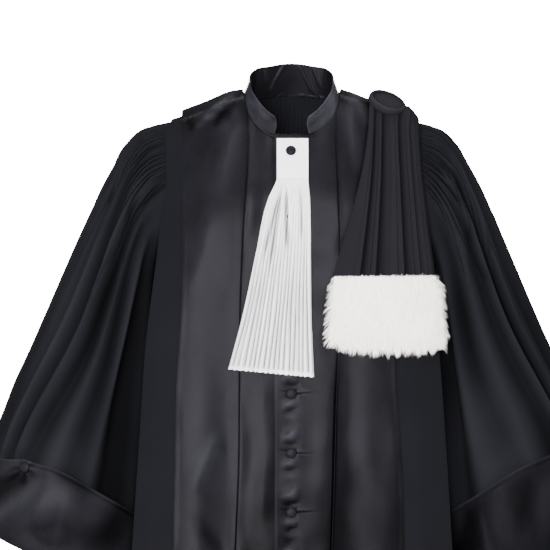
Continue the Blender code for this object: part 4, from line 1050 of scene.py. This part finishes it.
for number, level in enumerate(BUTTON_HEIGHTS, 1):
    spot = np.array(BUTTON_X, float)
    drop = drop_at(spot, np.array(level, float))
    stack = LAYERS["left"] + SEAM + (TAB_THICK + SEAM if number == 1 else 0)
    covered_button(f"button_front_{number:02d}", lambda out: lifted(front, spot, drop, out),
                   stack + BUTTON_SEAT + front_drape(spot, drop))

for side_name, sign in SIDES.items():
    degrees = np.array(CUFF_BUTTON_DEG[side_name], float)
    up = 1 - CUFF_BUTTON_BELOW_EDGE / read(CUFF[side_name], "height", degrees)
    covered_button(f"button_cuff_{side_name}", lambda out: cuff_point(side_name, sign, degrees, up, out),
                   SEAM + BUTTON_SEAT)

# NECKPIECE
# White cotton: a plain double tab that hangs from the first button, and under it a fall of narrow pressed
# pleats that fans out towards the hem and hides the next three buttons.

COTTON = 0.0010
TAB = {"left_x": -0.0225, "right_x": 0.0245, "top": -0.0724, "bottom": -0.1335}
RABAT_PLEATS = 17
RABAT_CLEAR = 0.0072
PRESSED_DEPTH = 0.0060
RABAT_GATHERS = [
    (-0.0085, -0.15, -0.0075, -0.236, 0.0024, -0.005), (-0.015, -0.15, -0.033, -0.262, 0.003, -0.0032),
    (-0.02, -0.16, -0.042, -0.25, 0.0026, -0.003), (-0.003, -0.145, 0.001, -0.215, 0.0022, 0.0024),
    (-0.011, -0.145, -0.02, -0.225, 0.0026, 0.0022), (0.013, -0.15, 0.015, -0.225, 0.0022, -0.0022),
]
FOLD_HOLD = 0.96
PAST_FOLD_SLOPE = 0.5
RABAT = table("along left right height_left height_right", (
    (0.0, -0.0249, 0.0254, -0.134, -0.134), (0.15, -0.041, 0.0273, -0.181, -0.181),
    (0.33, -0.0525, 0.0282, -0.237, -0.237), (0.67, -0.0719, 0.0291, -0.328, -0.332),
    (1.0, -0.0955, 0.033, -0.419, -0.431),
))

cotton = Finish("white_cotton", sheen_weight=0.15, subsurface_weight=0.0)
threads = [cotton.threads(across, 0.0008) for across in ((0.0, 0.0, 1.0), (1.0, 0.0, 0.0))]
starch = cotton.noise(60.0, 3.0)
cotton.colour(starch, (0.68, 0.68, 0.71), (0.76, 0.76, 0.79))
cotton.show("Roughness", 0.68 + 0.16 * starch)
cotton.raise_by(threads[0] * 0.5 + threads[1] * 0.5, 0.00025, 0.4)


def over_front(x, drop, out):
    """Points over the front's form, carried straight on where they pass the fold edge."""
    held = np.minimum(x, FOLD_HOLD * read(FOLD_EDGE, "x", drop))
    point = lifted(front, held, drop, out + front_drape(x, drop))
    point[..., 2] += height(x, drop) - height(held, drop)
    return point + (x - held)[..., None] * np.array([1, PAST_FOLD_SLOPE, 0])


def front_sheet(x, z, out):
    x, z, out = np.broadcast_arrays(x, z, out)
    return over_front(x, drop_at(x, z), out)


base = LAYERS["left"] + SEAM
x = np.linspace(TAB["left_x"], TAB["right_x"], 30)[None, :]
z = np.linspace(TAB["top"], TAB["bottom"], 40)[:, None]
rim = np.minimum(np.minimum(x - TAB["left_x"], TAB["right_x"] - x),
                 np.minimum(TAB["top"] - z, z - TAB["bottom"]))
hemmed = 0.0003 * bell(rim - 0.0035, 0.0010)
pulled = 0.0005 * np.exp(-(((x - BUTTON_X) / 0.012) ** 2 + ((z - BUTTON_HEIGHTS[0]) / 0.012) ** 2))
plain_tab = cloth("plain_tab", front_sheet(x, z, base + TAB_THICK - hemmed - pulled),
                  front_sheet(x, z, base), cotton)
dress(plain_tab, "rabat_tab")

along = np.linspace(0, 1, 80)[:, None]
across = np.linspace(0, 1, 10 * RABAT_PLEATS + 1)[None, :]
left, right = read(RABAT, "left", along), read(RABAT, "right", along)
left = left + (TAB["left_x"] - left[0]) * (1 - ease(along / 0.1))
right = right + (TAB["right_x"] - right[0]) * (1 - ease(along / 0.1))
upper, lower = read(RABAT, "height_left", along), read(RABAT, "height_right", along)
pleat = across * RABAT_PLEATS
wobble = 0.12 * wandering(pleat / 6, along * 0.8, 81) * ease(along / 0.3)
phase = (pleat + wobble) % 1
pressed = np.where(phase < 0.22, (phase / 0.22) ** 0.6, 1 - ((phase - 0.22) / 0.78) ** 1.7)
weight = np.clip(1 + 0.30 * wandering(pleat / 3, along * 1.2, 82), 0.5, 1.3)
x = left + (right - left) * across
z = upper + (lower - upper) * across - 0.0016 * (pressed - 0.5) * ease((along - 0.9) / 0.1)
stand = base + TAB_THICK - COTTON + (RABAT_CLEAR - TAB_THICK) * ease(along / 0.16)
stand = stand + PRESSED_DEPTH * (0.22 + 0.78 * ease(along / 0.6)) * (pressed - 0.3) * weight
stand += 0.0009 * ease((along - 0.972) / 0.006)
drawn_in = creases(x, z, RABAT_GATHERS)
stand = np.maximum(stand + drawn_in, base + 0.0006)
# Painted shade in the cotton's colour: darker in the pleat grooves and along the gathers, a little darker
# down the fall, slightly lighter at the hem.
shaded = -0.80 * (1 - pressed) ** 1.3 * (0.35 + 0.65 * ease(along / 0.7))
shaded = shaded + np.clip(drawn_in / 0.0045, -0.6, 0.05) - 0.08 * ease(along / 0.8)
shaded = np.where(along > 0.978, 0.04, shaded)
pleated_fall = cloth("pleated_fall", front_sheet(x, z, stand + COTTON), front_sheet(x, z, stand), cotton,
                     painted_shading=(np.clip(shaded, -0.86, 0.1), 0))
dress(pleated_fall, "rabat_pleats")

# SHOULDER SASH
# A band of the wool over the wearer's left shoulder, pleated under a covered disc on the shoulder seam.
# Each knife pleat is pressed flat and opens slightly towards the end; the back fall is the same.

SASH_TOP_DROP = 0.002
SASH_OUT = 0.0058
SASH_END_HEIGHT = -0.279
SASH_REST_OUT = {"front": 0.0035, "back": 0.0009}
SASH_LEFT = {"top": 0.118, "bottom": 0.070}
SASH_BACK_SHARE = {"top": 0.86, "bottom": 0.72}
DISC_RADIUS = 0.0298
DISC_THICKNESS = 0.0135
DISC_X = 0.1415
DISC_DROP = 0.004
DISC_CLEAR = 0.0004
DISC_TIP = 0.30
# Painted light per ring of the disc's profile: lighter up the side and over the rim, darker on the rim's
# inner wall.
DISC_PAINTED_SHADING = [0.1, 0.2, 0.3, 0.4, 0.5, 0.8, 0.9, 0.8, 0.1, -0.2, 0.1, 0.45, 0.5]
DISC_FORM = [(0.84, 0.0), (0.95, 0.05), (1.0, 0.20), (1.01, 0.45), (1.0, 0.70), (0.975, 0.88), (0.93, 0.98),
             (0.88, 1.0), (0.83, 0.96), (0.79, 0.82), (0.75, 0.77), (0.5, 0.80), (0.2, 0.82)]
SASH = table("top bottom stand", (
    (SASH_EDGE["top_x"], SASH_EDGE["bottom_x"], 0.002),
    (0.1228, 0.101, 0.005), (0.1247, 0.1039, 0.001), (0.1346, 0.1243, 0.005), (0.1366, 0.1272, 0.001),
    (0.1485, 0.1476, 0.004), (0.1584, 0.167, 0.005), (0.1604, 0.1699, 0.001), (0.1752, 0.1903, 0.005),
    (0.1772, 0.1932, 0.002), (0.1851, 0.2029, 0.005), (0.193, 0.2136, 0.001),
))

PLEAT_WIDTHS = np.append(np.diff(SASH["bottom"]), 0.01)

sash_wool = wool_finish("sash_wool", (0.0045, 0.0044, 0.0055), (0.0070, 0.0068, 0.0083))


def sash_lines(count):
    """The sash's pleat lines, drawn out into this many columns, and the swell of the wide pleats."""
    spots = np.linspace(0, len(SASH["top"]) - 1, count)
    line = {name: np.interp(spots, np.arange(len(values)), values)[None, :] for name, values in SASH.items()}
    wide = np.interp(spots, np.arange(len(PLEAT_WIDTHS)), PLEAT_WIDTHS) > 0.01
    line["swell"] = np.abs(np.sin(math.pi * spots))[None, :] * wide
    return line


def sash_shade(count):
    """Painted shade along the pleat lines of a fall and painted highlights on the folds beside them."""
    line = sash_lines(count)
    inside = (line["top"] > line["top"].min() + 0.004) & (line["top"] < line["top"].max() - 0.002)
    return 0.20 * line["stand"] / 0.005 - 0.55 * bell(line["stand"] - 0.001, 0.0014) * inside


def fall_lines(top, bottom, along):
    """How the lines of a fall run: their distances from the middle and their heights."""
    x = top + (bottom - top) * ease(along * 0.5) * 2
    start = height(x[:1], SASH_TOP_DROP)
    return x, start + (SASH_END_HEIGHT - start) * along


def sash_stand(line, along, place, thick):
    rest = SASH_OUT + (SASH_REST_OUT[place] - SASH_OUT) * ease(along / 0.3)
    opened = 0.35 + 0.65 * ease(along / 0.3)
    looped = 0.0110 * bell(line["top"] - 0.173, 0.014) * (1 - ease(along / 0.11))
    return rest + thick + looped + (line["stand"] * 1.15 + 0.0022 * line["swell"] ** 0.8) * opened


def sash_front(along, thick):
    line = sash_lines(133)
    x, z = fall_lines(line["top"], line["bottom"], along)
    soft = 0.0005 * (1 + wandering(x * 9, z * 5, 91)) * ease(along / 0.2)
    return over_front(x, drop_at(x, z), sash_stand(line, along, "front", thick) + soft)


def back_point(x, z, out):
    """Points over the wearer's left half of the back's form, clear of its pleats."""
    x, z, out = np.broadcast_arrays(x, z, out)
    drop = drop_at(x, z)
    low = 0 * x
    high = low + 1
    for _ in range(30):
        middle = (low + high) / 2
        short = back(middle, drop)[..., 0] < x
        low = np.where(short, middle, low)
        high = np.where(short, high, middle)
    clear = read(BACK_PLEAT_DEPTH, "depth", drop) * ease((drop - 0.03) / 0.05)
    return lifted(back, low, drop, out + clear, facing=-1)


def sash_back(along, thick):
    line = sash_lines(100)
    edges = (SASH_LEFT[k] + (line[k] - line[k][0, 0]) * SASH_BACK_SHARE[k] for k in ("top", "bottom"))
    x, z = fall_lines(*edges, along)
    return back_point(x, z, sash_stand(line, along, "back", thick))


for name, fall, rows, carrier in (
    ("sash_front_fall", sash_front, 90, "satin_facing_left"),
    ("sash_back_fall", sash_back, 60, "back_panel_left"),
):
    along = (np.linspace(0, 1, rows) ** 1.4)[:, None]
    outer = fall(along, WOOL)
    panel = cloth(name, outer, fall(along, 0), sash_wool, painted_shading=(sash_shade(outer.shape[1]), 0))
    dress(panel, name.removesuffix("_fall"))

foot = lifted(front, np.array(DISC_X), np.array(DISC_DROP), SASH_OUT + WOOL + DISC_CLEAR)
up = foot - lifted(front, np.array(DISC_X), np.array(DISC_DROP), SASH_OUT)
up = up / np.linalg.norm(up) + np.array([0.0, -DISC_TIP, 0.0])
profile = [(DISC_RADIUS * r, DISC_THICKNESS * h) for r, h in DISC_FORM]
disc = turned_piece("covered_disc", profile, 64, standing(foot, up / np.linalg.norm(up)), sash_wool, 0.002,
                    DISC_PAINTED_SHADING)
hand_over(disc, "sash_disc")

# FUR BANDS
# Long soft white fur on a narrow skin, sewn across the end of each fall. The hair lies downward and
# outward, clumps a little, and thins to wisps past the edges.

FUR = {"top": -0.2797, "bottom": -0.396, "left_top": 0.060, "right_top": 0.219,
       "left_bottom": 0.051, "right_bottom": 0.230}
FUR_BACK_EDGE = 0.188
FUR_OUT = {"front": 0.0034, "back": 0.0018}
FUR_THICK = 0.013
HAIR_OVERHANG = 0.004
TUFTS = (66, 15)
TUFT_PULLS = (0.0, 0.0, 0.18, 0.18, 0.42, 0.42, 0.62)

fur = Finish("white_fur", roughness=0.75, sheen_weight=0.25)
locks = fur.noise(120.0, 3.0, (1, 1, 0.2))
fur.show("Base Color", fur.colour_mix(locks, (0.95, 0.90, 0.85), (1.0, 0.97, 0.93)))
fur.raise_by(locks, 0.0008, 0.4)


def fur_faces(surface, out, right_edge):
    """The back and the rounded front of one band as grids."""
    across = np.linspace(0, 1, 60)[None, :]
    down = np.linspace(0, 1, 44)[:, None]
    left = FUR["left_top"] + (FUR["left_bottom"] - FUR["left_top"]) * down + HAIR_OVERHANG
    right = FUR["right_top"] + (FUR["right_bottom"] - FUR["right_top"]) * down
    right = np.minimum(right, right_edge) - HAIR_OVERHANG
    x = left + (right - left) * across
    raised = 2 * HAIR_OVERHANG + 0.004 + 0.010 * (1 - across) ** 3 + 0.005 * across ** 8
    z = FUR["top"] + (FUR["bottom"] + raised - FUR["top"]) * down
    swell = (1 - np.abs(2 * across - 1) ** 3.5) ** 0.4 * (1 - np.abs(2 * down - 1) ** 3.5) ** 0.4
    lumps = 1 + 0.10 * wandering(x * 14, z * 9, 101)
    return surface(x, z, out), surface(x, z, out + 0.001 + FUR_THICK * swell * lumps)


def gather_tufts(points, u, v, dice):
    """Draws the tips of neighbouring hairs together, and lets some tufts hang out longer than the rest."""
    column = np.clip((u + dice.normal(0, 0.012, u.shape)) * TUFTS[0], 0, TUFTS[0] - 1).astype(int)
    row = np.clip((v + dice.normal(0, 0.03, u.shape)) * TUFTS[1], 0, TUFTS[1] - 1).astype(int)
    tuft = column * TUFTS[1] + row
    members = np.maximum(np.bincount(tuft, minlength=TUFTS[0] * TUFTS[1]), 1)[:, None]
    tip, root = (np.stack([np.bincount(tuft, spots[:, k], len(members)) for k in range(3)], axis=1) / members
                 for spots in (points[-1], points[0]))
    tip = tip + (tip - root) * dice.uniform(-0.3, 1.0, members.shape)
    loose = (dice.random(u.shape) < 0.12)[:, None]
    drawn = [p + (tip[tuft] - points[-1]) * pull for p, pull in zip(points, TUFT_PULLS)]
    return [np.where(loose, points[0] + (p - points[0]) * 1.35, d) for p, d in zip(points, drawn)]


def hairs(name, skin, count, outward, seed):
    """Tapering hairs rooted all over a grid of skin points, clumped and combed downward."""
    dice = np.random.default_rng(seed)
    rows, columns = skin.shape[:2]
    r = dice.uniform(0, rows - 1.001, count)
    c = dice.uniform(0, columns - 1.001, count)
    thinned = (np.abs(c / (columns - 1) - 0.5) > 0.455) & (dice.random(count) < 0.75)
    c = np.where(thinned, dice.uniform(0.05, 0.95, count) * (columns - 1.001), c)
    i, j = r.astype(int), c.astype(int)
    s, t = (r - i)[:, None], (c - j)[:, None]
    root = (skin[i, j] * (1 - s) * (1 - t) + skin[i + 1, j] * s * (1 - t)
            + skin[i, j + 1] * (1 - s) * t + skin[i + 1, j + 1] * s * t)
    normal = np.cross(skin[i + 1, j] - skin[i, j], skin[i, j + 1] - skin[i, j])
    normal *= outward / np.maximum(np.linalg.norm(normal, axis=1, keepdims=True), 1e-12)
    u, v = c / (columns - 1), r / (rows - 1)
    lock = [wandering(u * 9, v * 4, seed + k, low=1, high=4) for k in (1, 2)]
    comb = np.stack([0.22 * lock[0] + 0.9 * (u - 0.5) ** 3 * 8, 0.10 * lock[1], -1.0 + 0 * u], axis=1)
    upward = (v < 0.05) & (dice.random(count) < 0.5)
    comb[:, 2] = np.where(upward, 1.0, comb[:, 2])
    comb += dice.normal(0, 0.16, comb.shape)
    comb /= np.linalg.norm(comb, axis=1, keepdims=True)
    lie = (0.52 + 0.12 * dice.normal(size=count))[:, None]
    start = normal * lie + comb * (1 - lie)
    start /= np.linalg.norm(start, axis=1, keepdims=True)
    edge = np.minimum(np.minimum(u, 1 - u), v * 0.8) * 6
    long = (0.011 + 0.005 * dice.random(count)) * (0.65 + 0.35 * np.clip(edge, 0, 1))
    long = np.where(v > 0.9, long * 1.15, long) * np.where(upward, 0.4, 1.0)
    long = (long * np.where(np.abs(u - 0.5) > 0.455, 1.35, 1.0))[:, None]
    wide = (0.00022 + 0.00010 * dice.random(count))[:, None]
    sideways = np.cross(start, normal + 0.3 * dice.normal(size=normal.shape))
    sideways /= np.maximum(np.linalg.norm(sideways, axis=1, keepdims=True), 1e-12)
    points = []
    for share, taper in ((0.0, 1.0), (0.4, 0.9), (0.75, 0.6)):
        heading = start * (1 - 0.55 * share) + comb * 0.55 * share
        spot = root + heading * long * share
        points += [spot - sideways * wide * taper, spot + sideways * wide * taper]
    points.append(root + (start * 0.45 + comb * 0.55) * long)
    points = gather_tufts(points, u, v, dice)
    grid = np.stack(points, axis=1).reshape(-1, 3)
    base = (np.arange(count) * 7)[:, None]
    quads = (base + np.array([[0, 1, 3, 2]])).tolist() + (base + np.array([[2, 3, 5, 4]])).tolist()
    tips = (base + np.array([[4, 5, 6]])).tolist()
    return piece_of(name, grid, quads + tips, fur)


for place, surface, right_edge, count, outward in (
    ("front", front_sheet, FUR["right_bottom"], 31000, 1),
    ("back", back_point, FUR_BACK_EDGE, 13000, -1),
):
    inner, outer = fur_faces(surface, FUR_OUT[place], right_edge)
    faces = (inner, outer) if outward < 0 else (outer, inner)
    skin = cloth(f"fur_skin_{place}", *faces, fur)
    coat = hairs(f"fur_hair_{place}", outer, count, outward, 110 + outward)
    for piece in (skin, coat):
        hand_over(piece, f"fur_{place}")

# STUDIO
# A pale round floor below the hem, a surround that is white behind the robe and grey elsewhere, and five
# soft boxes. The camera stands 4.5 m away with a long lens and looks 2 degrees down.

FLOOR_HEIGHT = -1.395
FLOOR_RADIUS = 1.7
floor_mesh = bpy.data.meshes.new("floor")
rounds = np.linspace(0, 2 * math.pi, 96, endpoint=False)
ring = [(FLOOR_RADIUS * math.cos(a), FLOOR_RADIUS * math.sin(a), FLOOR_HEIGHT) for a in rounds]
floor_mesh.from_pydata(ring, [], [list(range(96))])
floor = bpy.data.objects.new("floor", floor_mesh)
bpy.context.scene.collection.objects.link(floor)
paper = Finish("paper", roughness=0.9)
paper.show("Base Color", paper.colour_mix(paper.noise(3.0), (0.80, 0.80, 0.80), (0.84, 0.84, 0.84)))
floor_mesh.materials.append(paper.material)

world = bpy.data.worlds.new("surround")
bpy.context.scene.world = world
world.use_nodes = True
tree = world.node_tree
sky = tree.nodes["Background"]
spot = tree.nodes.new("ShaderNodeTexCoord")
parts = tree.nodes.new("ShaderNodeSeparateXYZ")
share = tree.nodes.new("ShaderNodeMapRange")
share.interpolation_type = "SMOOTHSTEP"
for socket, value in (("From Min", 0.965), ("From Max", 0.9895), ("To Min", 0.22), ("To Max", 22.0)):
    share.inputs[socket].default_value = value
tree.links.new(spot.outputs["Generated"], parts.inputs["Vector"])
tree.links.new(parts.outputs["Y"], share.inputs["Value"])
tree.links.new(share.outputs["Result"], sky.inputs["Strength"])
sky.inputs["Color"].default_value = (1, 1, 1, 1)

SOFT_BOXES = [
    ("front_box", (-0.7, -5.0, 0.22), (0, 0, -0.35), (2.6, 1.05), 950),
    ("left_box", (-3.6, -2.6, 0.3), (0, 0, -0.40), (1.8, 2.4), 140),
    ("right_box", (3.6, -2.6, 0.3), (0, 0, -0.40), (1.8, 2.4), 105),
    ("overhead", (0.0, 0.9, 2.6), (0, 0, 0.0), (2.2, 0.3), 90),
    ("upper_box", (0.3, -2.2, 3.3), (0, 0, 0.0), (1.6, 0.8), 180),
]

for name, place, aim, size, power in SOFT_BOXES:
    lamp = bpy.data.lights.new(name, "AREA")
    lamp.shape = "RECTANGLE"
    lamp.size, lamp.size_y = size
    lamp.energy = power
    made = bpy.data.objects.new(name, lamp)
    made.location = place
    made.rotation_euler = (Vector(place) - Vector(aim)).to_track_quat("Z", "Y").to_euler()
    bpy.context.scene.collection.objects.link(made)

AIM = Vector((-0.0256, 0.0, -0.282))
RISE = math.radians(2)
DISTANCE = 4.5
LENS = 190
lens = bpy.data.cameras.new("camera")
lens.lens = LENS
camera = bpy.data.objects.new("camera", lens)
camera.location = AIM + DISTANCE * Vector((0, -math.cos(RISE), math.sin(RISE)))
camera.rotation_euler = (camera.location - AIM).to_track_quat("Z", "Y").to_euler()
bpy.context.scene.collection.objects.link(camera)
bpy.context.scene.camera = camera
